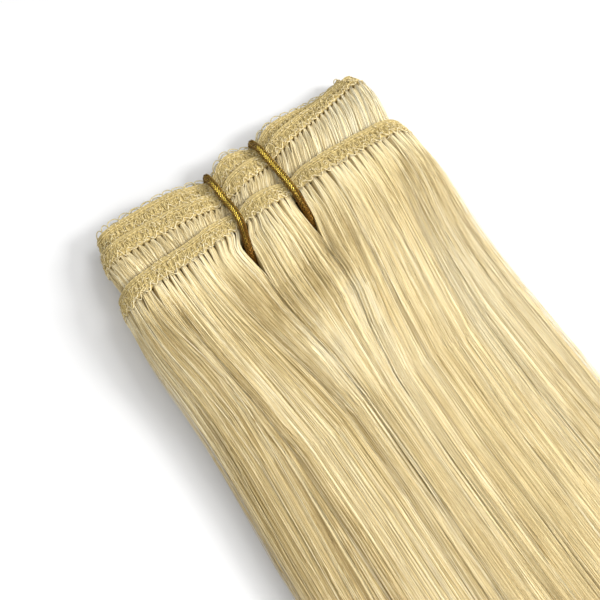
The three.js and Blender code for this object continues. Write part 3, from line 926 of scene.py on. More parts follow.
def keratin_hair(colours):
    """Bleached human hair: smooth keratin with an IOR near 1.55. The eye sees a soft sheen that runs across
    the strands, warm pale strands beside darker ones, and brown depths where light can't reach. That brown
    is painted shade, and the tone carries painted light and shade in soft zones."""
    if "keratin_hair" in bpy.data.materials:
        return bpy.data.materials["keratin_hair"]
    material, tree, shader = new_material("keratin_hair")
    # Cuticle streaks, drawn 0.22 mm wide because real ones of 0.07 mm are too fine to show
    streak = streaks(tree, 0.22, 30, {"Detail": 3.0, "Roughness": 0.6})
    spread = add_node(tree, "ShaderNodeMath", {"operation": "MULTIPLY_ADD", 0: streak, 1: 1.2, 2: -0.6})
    total = {"operation": "ADD", "use_clamp": True, 0: point_value(tree, "tone"), 1: spread.outputs[0]}
    toned = add_node(tree, "ShaderNodeMath", total)
    ramp = add_node(tree, "ShaderNodeValToRGB", {"Fac": toned.outputs[0]})
    ramp.color_ramp.elements[0].color = opaque(colours.hair_dark)
    ramp.color_ramp.elements[1].color = opaque(colours.hair_light)
    ramp.color_ramp.elements.new(0.5).color = opaque(colours.hair_mid)
    rough = add_node(tree, "ShaderNodeMapRange", {"To Min": 0.42, "To Max": 0.58, "Value": streak})
    # Painted shade: the shade value mixes in the dark hair colour in slits, partings and at tuft rims, and
    # darkens the few dark strands
    shade = point_value(tree, "shade")
    set_up(tree, shader, {
        "Base Color": blend(tree, shade, ramp.outputs["Color"], opaque(colours.hair_shade_and_lowlight)),
        "Roughness": rough.outputs[0],
        "Normal": bump(tree, streak, 0.35, 0.06),
        "IOR": 1.55,
        "Specular IOR Level": 0.4,
    })
    return material


def spun_thread(name, light, dark, colours):
    """Spun polyester sewing thread, two plies twisted. The eye sees a matt pale line with a fine slant."""
    material, tree, shader = new_material(name)
    # One turn of the plies in 0.9 mm. A wave's own length is 0.314
    ply = add_node(tree, "ShaderNodeTexWave", {
        "bands_direction": "DIAGONAL",
        "Scale": 0.314 / 0.9,
        "Distortion": 1.2,
        "Vector": place_on_piece(tree),
    }).outputs["Fac"]
    plied = blend(tree, ply, opaque(dark), opaque(light))
    set_up(tree, shader, {
        "Base Color": blend(tree, point_value(tree, "shade"), plied, opaque(colours.track_shade_and_cord)),
        "Normal": bump(tree, ply, 0.4, 0.05),
        "Roughness": 0.62,
        "IOR": 1.54,
        "Specular IOR Level": 0.3,
    })
    return material


def sewn_binding(colours):
    """Hair roots bound flat by machine stitching. The eye sees a straw-coloured knit with dark cells; their
    dark, and that of the holes and seam, is painted shade.
    """
    material, tree, shader = new_material("sewn_binding")
    # Hair roots lie across the strip, drawn 0.35 mm wide
    roots = streaks(tree, 0.35, 1.6, {"Detail": 3.0, "Roughness": 0.65})
    toned = blend(tree, roots, opaque(colours.hair_dark), opaque(colours.hair_mid))
    bound = blend(tree, 0.6, toned, opaque(colours.track))
    # Painted shade in the knit's cells, holes and seam, and the cord's own darker colour, by the shade value
    set_up(tree, shader, {
        "Base Color": blend(tree, point_value(tree, "shade"), bound, opaque(colours.track_shade_and_cord)),
        "Normal": bump(tree, roots, 0.5, 0.12),
        "Roughness": 0.6,
        "IOR": 1.54,
        "Specular IOR Level": 0.3,
    })
    return material


def metallic_yarn(colours):
    """Flat metallised film wrapped round a dark core and braided. The eye sees bright gold sparks along one
    side of the cord, a painted highlight, and dark brown between the yarns. Below the front stitch line the
    cord is darkened by painted shade."""
    material, tree, shader = new_material("metallic_yarn")
    # Film folds about 0.4 mm long
    folds = streaks(tree, 0.4, 0.4, {"Detail": 2.0})
    # The tone carries a painted highlight along one side, painted shade below the front stitch line, and the
    # yarns' own dark and light
    product = {"operation": "MULTIPLY", "use_clamp": True, 0: point_value(tree, "tone"), 1: folds}
    painted_light_and_yarn_tone = add_node(tree, "ShaderNodeMath", product)
    reach = {"From Min": 0.1, "From Max": 0.6, "Value": painted_light_and_yarn_tone.outputs[0]}
    bright = add_node(tree, "ShaderNodeMapRange", reach)
    set_up(tree, shader, {
        "Base Color": blend(tree, bright.outputs[0], opaque(colours.gold_dark), opaque(colours.gold)),
        "Normal": bump(tree, folds, 0.3, 0.05),
        "Metallic": 0.8,
        "Coat Weight": 0.1,
        "Coat Roughness": 0.25,
        "Roughness": 0.26,
    })
    return material


def white_paper(colours):
    """Matt white studio paper. The eye sees an even white with no grain at this distance."""
    material, tree, shader = new_material("white_paper")
    # Paper fibres about 2 mm long
    grain = add_node(tree, "ShaderNodeTexNoise", {"Scale": 1 / (2 * MM), "Detail": 2.0}).outputs["Fac"]
    set_up(tree, shader, {
        "Base Color": opaque(colours.paper),
        "Normal": bump(tree, grain, 0.04, 0.05),
        "Roughness": 0.9,
        "Specular IOR Level": 0.1,
    })
    return material


# Outer hair


def tuft_places(pitch):
    """Middles of the tufts round the front stitch line, with the length of the slit beside each."""
    reach = float(2 * flat_half(0) + np.pi * section(0, "side"))
    count = int(2 * reach / pitch)
    chance = np.random.default_rng(TUFT_SEED)
    shift = chance.uniform(-TUFT_SHIFT, TUFT_SHIFT, count) * pitch
    places = -reach + (np.arange(count) + 0.5) * 2 * reach / count + shift
    return places, chance.uniform(*SLIT_LENGTHS, count)


def slit_shape(between, far, length, starts):
    """1 in the middle of a slit at the stitch line, fading to 0 down the slit and on the tufts."""
    sunk = np.maximum(far, 0) / length
    return smoothstep(between, starts + SLIT_NARROWS * np.minimum(sunk, 1), 1.0) * np.exp(-(sunk ** 2))


def slit_between(arc, down, pitch):
    """Slits between the tufts at the front stitch line."""
    places, lengths = tuft_places(pitch)
    near = np.clip(np.searchsorted(places, arc), 1, len(places) - 1)
    left, right = places[near - 1], places[near]
    off = np.abs((arc - left) / (right - left) - 0.5) * 2
    return slit_shape(1 - off, down, lengths[near], 0.58)


def lock_relief(line, down):
    """Fine locks within the large ones, as a height. line names a line of hair by its place at the root."""
    return (ripple(LOCKS_BROAD, line, down) + ripple(LOCKS_FINE, line, down)) * smoothstep(down, 4, 26)


def body_lines():
    """Columns of the hair's body over its front: the space between edges, the share across, and how deep it
    lies where the space is a parting, which also sets the painted shade there."""
    rows = []
    root = lock_edges(np.zeros(1))[0]
    for space in range(len(root) - 1):
        if space in PARTINGS:
            rows.extend(((space, 0.05, 0.16), (space, 0.25, 1), (space, 0.75, 1), (space, 0.95, 0.16)))
            continue
        count = max(int((root[space + 1] - root[space]) / BODY_STEP), 4)
        shares = np.linspace(0, 1, count + 1)
        last = space + 1 in PARTINGS or space == len(root) - 2
        rows.extend((space, share, 0) for share in (shares if last else shares[:-1]))
    return np.array(rows, float).T


def body_heights(x, line, down, deep, slit, sunk):
    """Heights of the body's front and underside, drawn together in the partings, and the painted shade on it
    in the slits and partings.
    """
    top = hair_top(x, down) - sunk + lock_relief(line, down) - SLIT_DEPTH_FRONT * slit
    under = hair_dent(x, down) + sunk
    middle = (top + under) / 2
    closing = smoothstep(down, PARTING_NARROWS + 3, PARTING_CLOSES + 3)
    floor = mix(middle + GAP, top - 0.5, closing)
    ceiling = mix(middle - GAP, under + GAP, closing)
    # Painted shade in the slits and in the deep partings
    dark = np.maximum(SLIT_PAINTED_SHADE_FRONT * slit, np.sqrt(deep) * mix(1.0, 0.25, closing))
    return mix(top, floor, deep), mix(under, ceiling, deep), dark


def body_of_hair(pitch):
    """The body of the outer hair: rings of points, the painted shade at each, and the line of hair that it is
    on.
    """
    space, share, deep = body_lines()
    down = np.broadcast_to(BODY_ROWS[:, None], (len(BODY_ROWS), len(space)))
    left, right = space_edges(lock_edges(down), np.broadcast_to(space.astype(int), down.shape))
    straight = mix(left, right, share)
    line = np.broadcast_to(straight[0], straight.shape)
    x = straight + sway(line, down)
    sunk = BODY_SUNK + TIPS_SUNK * smoothstep(down, TIPS_START, TIPS_END)
    top, under, dark = body_heights(x, line, down, deep, slit_between(line, down, pitch), sunk)
    front = np.stack((x, hair_y(x, True, down), top), -1)
    back = np.stack((x, hair_y(x, False, down), under), -1)
    right_upper, right_lower = body_side(1.0, pitch, sunk[:, :1])
    left_upper, left_lower = body_side(-1.0, pitch, sunk[:, :1])
    over = (left_upper, (front, dark, line), flip(right_upper))
    beneath = (right_lower, flip((back, dark, line)), flip(left_lower))
    return [np.concatenate(group, 1) for group in zip(*over, *beneath)]


def flip(part):
    return tuple(block[:, ::-1] for block in part)


def body_side(sign, pitch, sunk):
    """The upper and the lower half of a round side of the body, each from its outermost point inwards."""
    steps = (np.arange(SIDE_STEPS) + 0.5) / SIDE_STEPS
    halves = []
    for share in ((1 - steps) / 2, (1 + steps) / 2):
        down = np.broadcast_to(BODY_ROWS[:, None], (len(BODY_ROWS), len(share)))
        root = sign * (flat_half(0) + share * np.pi * section(0, "side"))
        line = np.broadcast_to(root, down.shape)
        slit = slit_between(line, down, pitch)
        lift = lock_relief(line, down) - sunk - SLIT_DEPTH_SIDE * slit
        points = round_bundle(flow(line, down), down, lift)
        # Painted shade in the slits of the round side
        halves.append((points, SLIT_PAINTED_SHADE_SIDE * slit, line))
    return halves


Group = namedtuple("Group", "name low high wisps strands loose seed")
Drawn = namedtuple("Drawn", "tuft aside wisp wisp_tone wisp_lift length within stray lift tone lowlight")


def strand_groups(sizes):
    """The pieces of strands: the arcs between which their tufts lie, the wisps in a tuft, the strands in a
    wisp, how far they stray from their neighbours, and the seed."""
    half = float(flat_half(0))
    side = half + np.pi * float(section(0, "side"))
    end = side + half
    wisps, full = sizes.wisps, sizes.strands
    fewer, few = full // 2 + 1, full // 3 + 1
    return (
        Group("strands_front_left", -half, 0, wisps, full, 0, 101),
        Group("strands_front_right", 0, half, wisps, full, 0, 102),
        Group("strands_side_left", -side, -half, wisps, fewer, 0, 103),
        Group("strands_side_right", half, side, wisps, fewer, 0, 104),
        Group("strands_under_left", -end, -side, 3, few, 0, 105),
        Group("strands_under_right", side, end, 3, few, 0, 106),
        Group("loose_strands", -half, half, 2, 2, 1.2, 107),
        Group("loose_side_left", -side, -half + 4, 3, 3, 2.2, 108),
        Group("loose_side_right", half - 4, side, 3, 3, 2.2, 109),
    )


def draw_strands(group, pitch):
    """What chance gives to the strands of a group, each value as a column with one row for each strand."""
    chance = np.random.default_rng(group.seed)
    tufts = tuft_places(pitch)[0]
    tufts = tufts[(tufts >= group.low) & (tufts < group.high)]
    tuft = np.repeat(clear_of_partings(tufts, TUFT_CLEARANCE), group.wisps)
    spread = np.tile((np.arange(group.wisps) + 0.5) / group.wisps - 0.5, len(tufts))
    off = (WISP_SPREAD * spread + chance.uniform(-0.12, 0.12, len(tuft))) * pitch
    wisp_tone = chance.normal(0, 0.05, len(tuft))
    wisp_lift = chance.uniform(-0.03, 0.06, len(tuft))
    by_wisp = (tuft, off, np.arange(len(tuft)), wisp_tone, wisp_lift)
    column = (len(tuft) * group.strands, 1)
    return Drawn(
        *(np.repeat(values, group.strands)[:, None] for values in by_wisp),
        length=chance.uniform(0.9, 1.0, column) ** 0.7,
        within=chance.normal(0, 1, column),
        stray=chance.uniform(0, 1, column) ** 6,
        lift=chance.uniform(-0.07, 0.07, column),
        tone=chance.normal(0, 0.2, column),
        lowlight=chance.uniform(0, 1, column) < LOWLIGHT_SHARE,
    )


def strand_arcs(drawn, line, down, group):
    """How far round the bundle strands lie at each step down."""
    order = np.arange(len(line))[:, None]
    drift = WISP_DRIFT * soft_noise(drawn.wisp * 7.3, down / DRIFT_LENGTH, group.seed + 1)
    stray = STRAY_LEAST + group.loose + STRAY_MORE * drawn.stray
    own = stray * soft_noise(order * 3.7, down / STRAY_LENGTH, group.seed + 2)
    gather = mix(ROOT_GATHER, 1.0, smoothstep(down, -1, GATHER_ENDS))
    arc = flow(line, down) - (line - drawn.tuft) * (1 - gather) + (drift + own) * smoothstep(down, 6, 60)
    return arc + 0.3 * drawn.within * smoothstep(down, 5, 40)


def strand_lifts(drawn, line, down, group, pitch):
    """How far strands lie off the bundle at each step down."""
    order = np.arange(len(line))[:, None]
    crown = np.exp(-((np.maximum(down, 0) / CROWN_REACH) ** 2))
    crown = TUFT_CROWN * (1 - np.abs(drawn.aside) / pitch) * crown
    lift = drawn.wisp_lift * smoothstep(down, -1, 12) + drawn.lift + crown
    lift = lift + lock_relief(line, down)
    afloat = 1 + soft_noise(order * 2.9, down / LOOSE_LENGTH, group.seed + 3)
    return lift + group.loose * LOOSE_LIFT * afloat * smoothstep(down, 2, 30)


def strand_tones(drawn, line, arc, down, pitch):
    """How light strands are at each step down, with painted light and shade in their tones, and how dark:
    painted shade at tuft rims, and the few dark strands.
    """
    contrast = mix(CONTRAST_LEFT, CONTRAST_RIGHT, smoothstep(line, -CONTRAST_SPAN, CONTRAST_SPAN))
    tone = STRAND_TONE + drawn.wisp_tone + contrast * drawn.tone
    tone = tone + ripple(STRAND_TONES, line, down)
    # Painted light near the roots, and painted light and shade in soft zones
    tone = tone + ROOT_PAINTED_LIGHT * np.exp(-((down / ROOT_PAINTED_LIGHT_REACH) ** 2)) + soft_spots(PAINTED_LIGHT_AND_SHADE, arc, down)
    tone = tone - LOWLIGHT_DROP * contrast * drawn.lowlight
    # Painted shade at the rims of tufts near the roots; the few dark strands keep their own darker colour
    dark = 0.6 * smoothstep(np.abs(drawn.aside) / pitch, *TUFT_RIM_PAINTED_SHADE) * np.exp(-((down / 4.5) ** 2))
    return tone, np.maximum(dark, LOWLIGHT_SHADE * drawn.lowlight * smoothstep(down, 4, 20))


def wisp_strands(group, pitch):
    """The strands of a group: paths, outward directions and values."""
    drawn = draw_strands(group, pitch)
    down = STRAND_ROWS * drawn.length
    line = clear_of_partings(drawn.tuft + drawn.aside + drawn.within * STRAND_SPREAD, STRAND_CLEARANCE)
    arc = strand_arcs(drawn, line, down, group)
    lift = strand_lifts(drawn, line, down, group, pitch)
    paths = round_bundle(arc, down, lift)
    away = round_bundle(arc, down, lift + 1) - paths
    paths[..., 2] = np.maximum(paths[..., 2], STRAND_FLOOR)
    tone, dark = strand_tones(drawn, line, arc, down, pitch)
    return paths, away, {"tone": tone, "shade": dark, "across": line + 0 * down, "down": down}


def add_strands(name, made, thickness, material):
    """A piece of strands, thinner towards their tips."""
    paths, away, values = made
    radius = thickness / 2 * mix(1.0, TIP_THICKNESS, smoothstep(values["down"], TAPER_STARTS, HAIR_LENGTH))
    points, faces, places = tubes(paths, radius, away, STRAND_SIDES, flat=STRAND_FLATNESS)
    spread = {key: np.repeat(numbers.reshape(-1), STRAND_SIDES) for key, numbers in values.items()}
    make_piece(name, points, faces, material, spread, places=places)


class WEFT_OT_outer_hair(bpy.types.Operator):
    """Make the outer hair: a body in locks and the strands that cover it"""

    bl_idname = "weft.outer_hair"
    bl_label = "Outer Hair"

    def execute(self, context):
        sizes, colours = context.scene.weft_sizes, context.scene.weft_colours
        material = keratin_hair(colours)
        pitch = sizes.tuft / MM
        points, dark, line = body_of_hair(pitch)
        down = np.broadcast_to(BODY_ROWS[:, None], line.shape)
        # Painted light and shade in soft zones, over the body's own random tone
        tone = BODY_TONE + ripple(BODY_TONES, line, down) + soft_spots(PAINTED_LIGHT_AND_SHADE, points[..., 0], down)
        values = {"tone": tone, "shade": dark, "across": line, "down": down}
        faces = ring_faces(*line.shape)
        body = points.reshape(-1, 3)
        make_piece("outer_hair_body", body, faces, material, values, ("outer_hair",))
        for group in strand_groups(sizes):
            add_strands(group.name, wisp_strands(group, pitch), sizes.strand / MM, material)
        return {"FINISHED"}


# Inner hair


def core_ring(left, right, y, top, under):
    """A ring of the inner hair: its left fold, its front, its right fold, and back underneath."""
    low = left + (top(left) - under(left)) / 2
    high = right - (top(right) - under(right)) / 2
    across = np.linspace(low, high, RING_STEPS)

    def fold(x, towards):
        radius, middle = (top(x) - under(x)) / 2, (top(x) + under(x)) / 2
        place = x + towards * radius * np.cos(FOLD_ANGLES)
        return place, middle + radius * np.sin(FOLD_ANGLES), middle - radius * np.sin(FOLD_ANGLES)

    left_x, left_high, left_low = fold(low, -1)
    right_x, right_high, right_low = fold(high, 1)
    x = np.concatenate((left_x, across, right_x[::-1]))
    upper = np.concatenate((left_high, top(across), right_high[::-1]))
    lower = np.concatenate((left_low, under(across), right_low[::-1]))
    front = np.stack((x, y(x, True), upper), -1)
    back = np.stack((x, y(x, False), lower), -1)[::-1]
    return np.concatenate((front, back))


def neck_ring(row):
    turn = row.turn
    return core_ring(
        row.left, row.right,
        lambda x, on_front: level(turn.level, x) + row.above - root_drop(turn, x),
        lambda x: front_run(turn, x) + row.proud,
        lambda x: row.floor + turn.dent * pinch(x),
    )


def parted(x, down):
    """1 along the partings and 0 away from them."""
    open_share = 1 - smoothstep(down, PARTING_NARROWS + 4, PARTING_CLOSES + 4)
    lines = [parting_line(groove, down) for groove in GROOVES if groove.tie]
    return open_share * sum(np.exp(-(((x - line) / 2.6) ** 4)) for line in lines)


def lower_ring(down):
    inset = section(down, "wall") + GAP * (1 + down / INNER_HAIR_THINS)
    reach = section(down, "width") / 2 - inset
    return core_ring(
        -reach, reach,
        lambda x, on_front: hair_y(x, on_front, np.full_like(x, down)),
        lambda x: section(down, "depth") - inset - hair_dent(x, down) - BUNDLE_DEPTH / 3 * parted(x, down),
        lambda x: inset + GAP + hair_dent(x, down),
    )


def neck_point(upper, lower, share, slit):
    """Between two rings of the neck, a little full in the middle and hollow in the slits."""
    points = mix(upper, lower, share)
    full = np.clip((upper[..., 1:2] - lower[..., 1:2]) / 20, 0, 1) * NECK_FULLNESS
    points[..., 2:3] += full * np.sin(np.pi * np.clip(share, 0, 1)) - SLIT_DEPTH_NECK * slit
    return points


def neck_tufts(upper, pitch):
    """How far round the neck's front each column of its upper ring is, and how many tufts fill it."""
    front = upper[:len(upper) // 2]
    far = distance_along(front[:, [0, 2]])
    return far, int(far[-1] / pitch)


def neck_slit(tuft, far):
    """Slits between the tufts of the neck, by place in tufts and distance from the stitch line: how deep they
    sink, which also sets their painted shade.
    """
    between = np.abs(tuft % 1 - 0.5) * 2
    length = 3.2 + 2.2 * soft_noise(np.floor(tuft + 0.5) * 1.7, 0 * tuft, 42)
    return SLIT_PAINTED_SHADE_NECK * slit_shape(between, far, length, 0.62)


def inner_rings(necks, pitch):
    """Rings of the inner hair from the upper turn down to its tips, and the painted shade at each point, in
    the neck's slits.
    """
    upper, lower = necks[2:]
    tall = (upper[:, 1] - lower[:, 1])[:, None]
    shares = np.linspace(0, 1, NECK_ROWS)
    far, tufts = neck_tufts(upper, pitch)
    tuft = np.concatenate((far, far[::-1]))[:, None] / far[-1] * tufts
    front = (np.arange(len(upper)) < len(upper) // 2)[:, None]
    slits = [neck_slit(tuft, share * tall) * front for share in shares]
    shown = [neck_point(upper, lower, share, slit) for share, slit in zip(shares, slits)]
    hidden = [lower_ring(down) for down in HIDDEN_ROWS]
    bare = np.zeros_like(slits[0])
    dark = np.stack((bare, bare, *slits, *([bare] * len(hidden))))[..., 0]
    return np.stack((*necks[:2], *shown, *hidden)), dark


def between_columns(ring, column):
    """Points between the columns of a ring."""
    low = np.clip(np.floor(column).astype(int), 0, len(ring) // 2 - 2)
    return mix(ring[low], ring[low + 1], (column - low)[..., None])


def neck_away(first, points):
    """The outward direction of strands on the neck: up, and to the side near its folds."""
    aside = np.clip((np.abs(first[..., :1]) - 44) / 8, 0, 1) * np.sign(first[..., :1])
    upwards = np.maximum(points[..., 2:] - BUNDLE_DEPTH / 2, 0) / 8 + 0.1
    return unit(np.concatenate((aside, 0 * aside, upwards), -1))


def neck_strands(upper, lower, pitch):
    """Strands from the middle turn's stitch line down behind the front turn."""
    chance = np.random.default_rng(NECK_SEED)
    far, tufts = neck_tufts(upper, pitch)
    wisps = tufts * NECK_WISPS
    wisp = np.repeat(np.arange(wisps), NECK_WISP_STRANDS)
    column = (len(wisp), 1)
    tuft = (wisp[:, None] // NECK_WISPS + 0.5) * far[-1] / tufts
    place = (wisp[:, None] % NECK_WISPS + 0.5) / NECK_WISPS - 0.5
    off = place * pitch + chance.normal(0, 0.14, column)
    share = np.concatenate(([-0.05], np.linspace(0.04, 1.12, 8)))[None]
    gather = mix(0.42, 1.2, smoothstep(share, 0.0, 0.8))
    drift = 0.5 * soft_noise(wisp[:, None] * 7.7, share * 2.2, NECK_SEED + 1) * share
    where = np.clip(tuft + off * gather + drift, 0, far[-1])
    at = np.interp(where, far, np.arange(len(far)))
    first = between_columns(upper, at)
    points = neck_point(first, between_columns(lower, at), share[..., None], 0)
    away = neck_away(first, points)
    rise = chance.uniform(-0.1, 0.3, (wisps, 1))[wisp] + chance.uniform(-0.15, 0.2, column)
    points = points + away * (rise * smoothstep(share, -0.1, 0.5) + 0.1)[..., None]
    tone = 0.5 + chance.normal(0, 0.12, (wisps, 1))[wisp] + chance.normal(0, 0.16, column) + 0 * share
    # Painted light: lighter towards the neck's right end, where the light falls
    tone = tone + 0.5 * smoothstep(first[..., 0], 16, 44)
    # Painted shade at the rims of the tufts, near the stitch line
    dark = 0.5 * smoothstep(np.abs(off) / pitch, *TUFT_RIM_PAINTED_SHADE) * (1 - smoothstep(share, 0.0, 0.4))
    return points, away, {"tone": tone, "shade": dark, "across": where, "down": share * 16 + 0 * tone}


class WEFT_OT_inner_hair(bpy.types.Operator):
    """Make the inner hair that shows between the turns of the track"""

    bl_idname = "weft.inner_hair"
    bl_label = "Inner Hair"

    def execute(self, context):
        sizes, colours = context.scene.weft_sizes, context.scene.weft_colours
        material = keratin_hair(colours)
        pitch = sizes.tuft / MM
        necks = [neck_ring(row) for row in NECK]
        upper, lower = necks[2:]
        rings, dark = inner_rings(necks, pitch)
        line = np.broadcast_to(upper[:, 0], dark.shape)
        tone = 0.5 + ripple(INNER_TONES, line, 0 * line)
        values = {"tone": tone, "shade": dark, "across": line, "down": -rings[..., 1]}
        faces = ring_faces(*dark.shape)
        body = rings.reshape(-1, 3)
        make_piece("inner_hair_body", body, faces, material, values, ("inner_hair",))
        add_strands("strands_neck", neck_strands(upper, lower, pitch), sizes.strand / MM, material)
        return {"FINISHED"}


# Track


def shown_stations(track):
    """Distances along the strip, close together on the front runs and further apart where it is hidden."""
    facing = np.sin(track["rows"][:, 3]) > -0.2
    shown = facing & (track["turn"] > 0.98)
    return track["along"][shown | (np.arange(len(shown)) % 3 == 0)]


def strip_outline():
    """The strip's section as heights above its stitched edge and distances off its middle, clockwise."""
    half = TRACK_THICKNESS / 2
    front, back = 25, 7
    rise = np.concatenate((np.linspace(0.0, TRACK_HEIGHT, front), np.linspace(TRACK_HEIGHT, 0, back)))
    out = np.concatenate((np.full(front, half), np.full(back, -half)))
    out[[0, front - 1, front, -1]] *= 0.7
    return rise, out


def bar_share(along, pitch):
    """1 on an upright stitch of the track and 0 midway between two."""
    uneven = 0.3 * soft_noise(along / pitch, 0 * along, 51)
    return 0.5 + 0.5 * np.cos(2 * np.pi * (along / pitch + uneven))


def row_at(rise, middle, half):
    """1 in the middle of a row, fading to 0 away from it."""
    return np.exp(-(((rise - middle) / half) ** 2))


def strip_relief(along, rise, pitch):
    """Height of the knit on the outer face, and how dark it is: painted shade in its cells, holes and seam,
    and the cord's own darker colour.
    """
    bars = bar_share(along, pitch)
    ladder = smoothstep(rise, *LADDER_STARTS) * (1 - smoothstep(rise, *LADDER_ENDS))
    hole_pitch = 0.92 * pitch
    hole_along = np.abs(((along / hole_pitch) % 1) - 0.5) * hole_pitch
    cord = row_at(rise, *CORD)
    knit = Knit(
        cord=cord,
        twist=np.sin(2 * np.pi * (along / 1.3 + rise / 1.4)) * cord,
        bars=ladder * bars,
        cell=ladder * (1 - bars),
        hole=row_at(hole_along, 0, 0.42) * row_at(rise, *HOLES),
        seam=row_at(rise, *SEAM),
    )
    height = sum(share * feature for share, feature in zip(KNIT_HEIGHT, knit))
    dark = sum(share * feature for share, feature in zip(KNIT_DARK, knit))
    return height + ripple(KNIT_RAGGED, along, rise), np.clip(dark, 0, 1)


def thread_line(track, along, rise, off, wander, seed):
    """One thread laid on the strip's face, wandering a little."""
    rise = rise + wander * soft_noise(along / THREAD_WAVE, 0 * along, seed)
    out = TRACK_THICKNESS / 2 + off + 0.05 * soft_noise(along / 2.3, 0 * along, seed + 1)
    return on_strip(track, along, rise, out)


def zigzag_line(track, along, zigzag, pitch):
    """A thread that runs from one uneven stitch point to the next, low and high in turn."""
    chance = np.random.default_rng(zigzag.seed)
    stitch = pitch / zigzag.stitches
    count = int(along[-1] / stitch) + 3
    point = (np.arange(count) + chance.normal(0, zigzag.uneven, count)) * stitch
    height = np.where(np.arange(count) % 2, zigzag.high, zigzag.low)
    height = height + chance.normal(0, zigzag.uneven, count) * (zigzag.high - zigzag.low)
    proud = TRACK_THICKNESS / 2 + chance.uniform(0.18, 0.5, count)
    knot = np.floor(along / stitch).astype(int)
    share = along / stitch - knot
    soft = smoothstep(share, 0, 1)
    place = np.clip(mix(point[knot], point[knot + 1], share), 0, along[-1])
    rise = mix(height[knot], height[knot + 1], soft)
    return on_strip(track, place, rise, mix(proud[knot], proud[knot + 1], soft))


def loop_line(track, width, height):
    """The looped edge: arcs that stand above the track and dip into it between."""
    inner = track["along"][track["turn"] < LOOPS_END]
    along = np.arange(inner[0] + 1, inner[-1], LOOP_STEP)
    wave = along / width + LOOP_UNEVEN_WIDTH * soft_noise(along / width, 0 * along, 61)
    reach = height * (1 + LOOP_UNEVEN_HEIGHT * soft_noise(along / width, 0 * along, 62))
    x = np.interp(along, track["along"], track["rows"][:, 0])
    reach = reach * (1 - LOOPS_FLATTENED * smoothstep(x, *LOOPS_FLATTEN))
    arch = np.abs(np.sin(np.pi * wave)) ** 0.75
    lean = -0.14 * width * np.sin(2 * np.pi * wave)
    rise = TRACK_HEIGHT - LOOP_DIP + arch * (reach + LOOP_DIP)
    return on_strip(track, along + lean, rise, 0.25 * np.cos(np.pi * wave))


def upright_stitches(track, pitch):
    """Short upright stitches in pairs across the ladder of the track."""
    count = int(track["along"][-1] / pitch) - 1
    chance = np.random.default_rng(91)
    middle = (np.arange(count) + 1)[:, None] * pitch + chance.normal(0, 0.2, (count, 1))
    middle = np.concatenate((middle - UPRIGHT_PAIR, middle + UPRIGHT_PAIR))
    share = np.linspace(0, 1, 5)
    slant = chance.normal(0.4, 0.4, (2 * count, 1))
    bow = 0.3 * np.sin(np.pi * share)
    rise = mix(UPRIGHT_FOOT, UPRIGHT_HEAD, share)
    return on_strip(track, middle + slant * (share - 0.5), rise, TRACK_THICKNESS / 2 + bow)


def stray_fibres(track):
    """Short fibres that stand off the knit every way."""
    chance = np.random.default_rng(95)
    column = (FIBRES, 1)
    along = chance.choice(shown_stations(track)[8:-8], column)
    rise = chance.uniform(-0.6, 5.6, column)
    share = np.linspace(0, 1, 5)
    reach = chance.normal(0, 1.1, column) * share
    climb = chance.normal(0, 0.9, column) * share
    bend = chance.normal(0, 0.35, column) * np.sin(np.pi * share)
    proud = chance.uniform(0.15, 0.4, column) + 0.2 * np.sin(np.pi * share)
    high = np.clip(rise + climb - bend, -1.6, 6.3)
    return on_strip(track, along + reach + bend, high, TRACK_THICKNESS / 2 + proud)


def add_threads(name, lines, thickness, away, material):
    """A piece of several long threads."""
    points, faces, across, down = [], [], [], []
    start = 0
    for line in lines:
        made, walls, _ = tubes(line[None], thickness / 2, away, THREAD_SIDES)
        points.append(made)
        faces.append([block + start for block in walls])
        across.append(np.repeat(distance_along(line), THREAD_SIDES))
        down.append(np.tile(np.arange(THREAD_SIDES) * thickness / 2, len(line)))
        start += len(made)
    faces = [np.concatenate(blocks) for blocks in zip(*faces)]
    values = {"across": np.concatenate(across), "down": np.concatenate(down), "shade": np.zeros(start)}
    make_piece(name, np.concatenate(points), faces, material, values)


def add_short_threads(name, paths, thickness, sides, material):
    """A piece of many short threads of equal steps."""
    points, faces, places = tubes(paths, thickness / 2, SHORT_AWAY, sides)
    count = len(points) // sides
    values = {
        "across": np.repeat(np.arange(count) * 0.5, sides),
        "down": np.tile(np.arange(sides) * 0.15, count),
        "shade": np.zeros(len(points)),
    }
    make_piece(name, points, faces, material, values, places=places)


def add_strip(track, pitch, material):
    """The knit strip, with its relief on the outer face."""
    rise, out = strip_outline()
    along = shown_stations(track)[:, None]
    outer = (out > 0) & (rise > 0) & (rise < TRACK_HEIGHT)
    height, dark = strip_relief(along, rise, pitch)
    points = on_strip(track, along, rise, out + np.where(outer, height, 0))
    dark = np.where(outer, dark, 0.15) + 0 * along
    values = {"shade": dark, "across": along + 0 * rise, "down": rise + 0 * along}
    faces = [block[:, ::-1] for block in ring_faces(*dark.shape)]
    make_piece("track_strip", points.reshape(-1, 3), faces, material, values, ("track",))


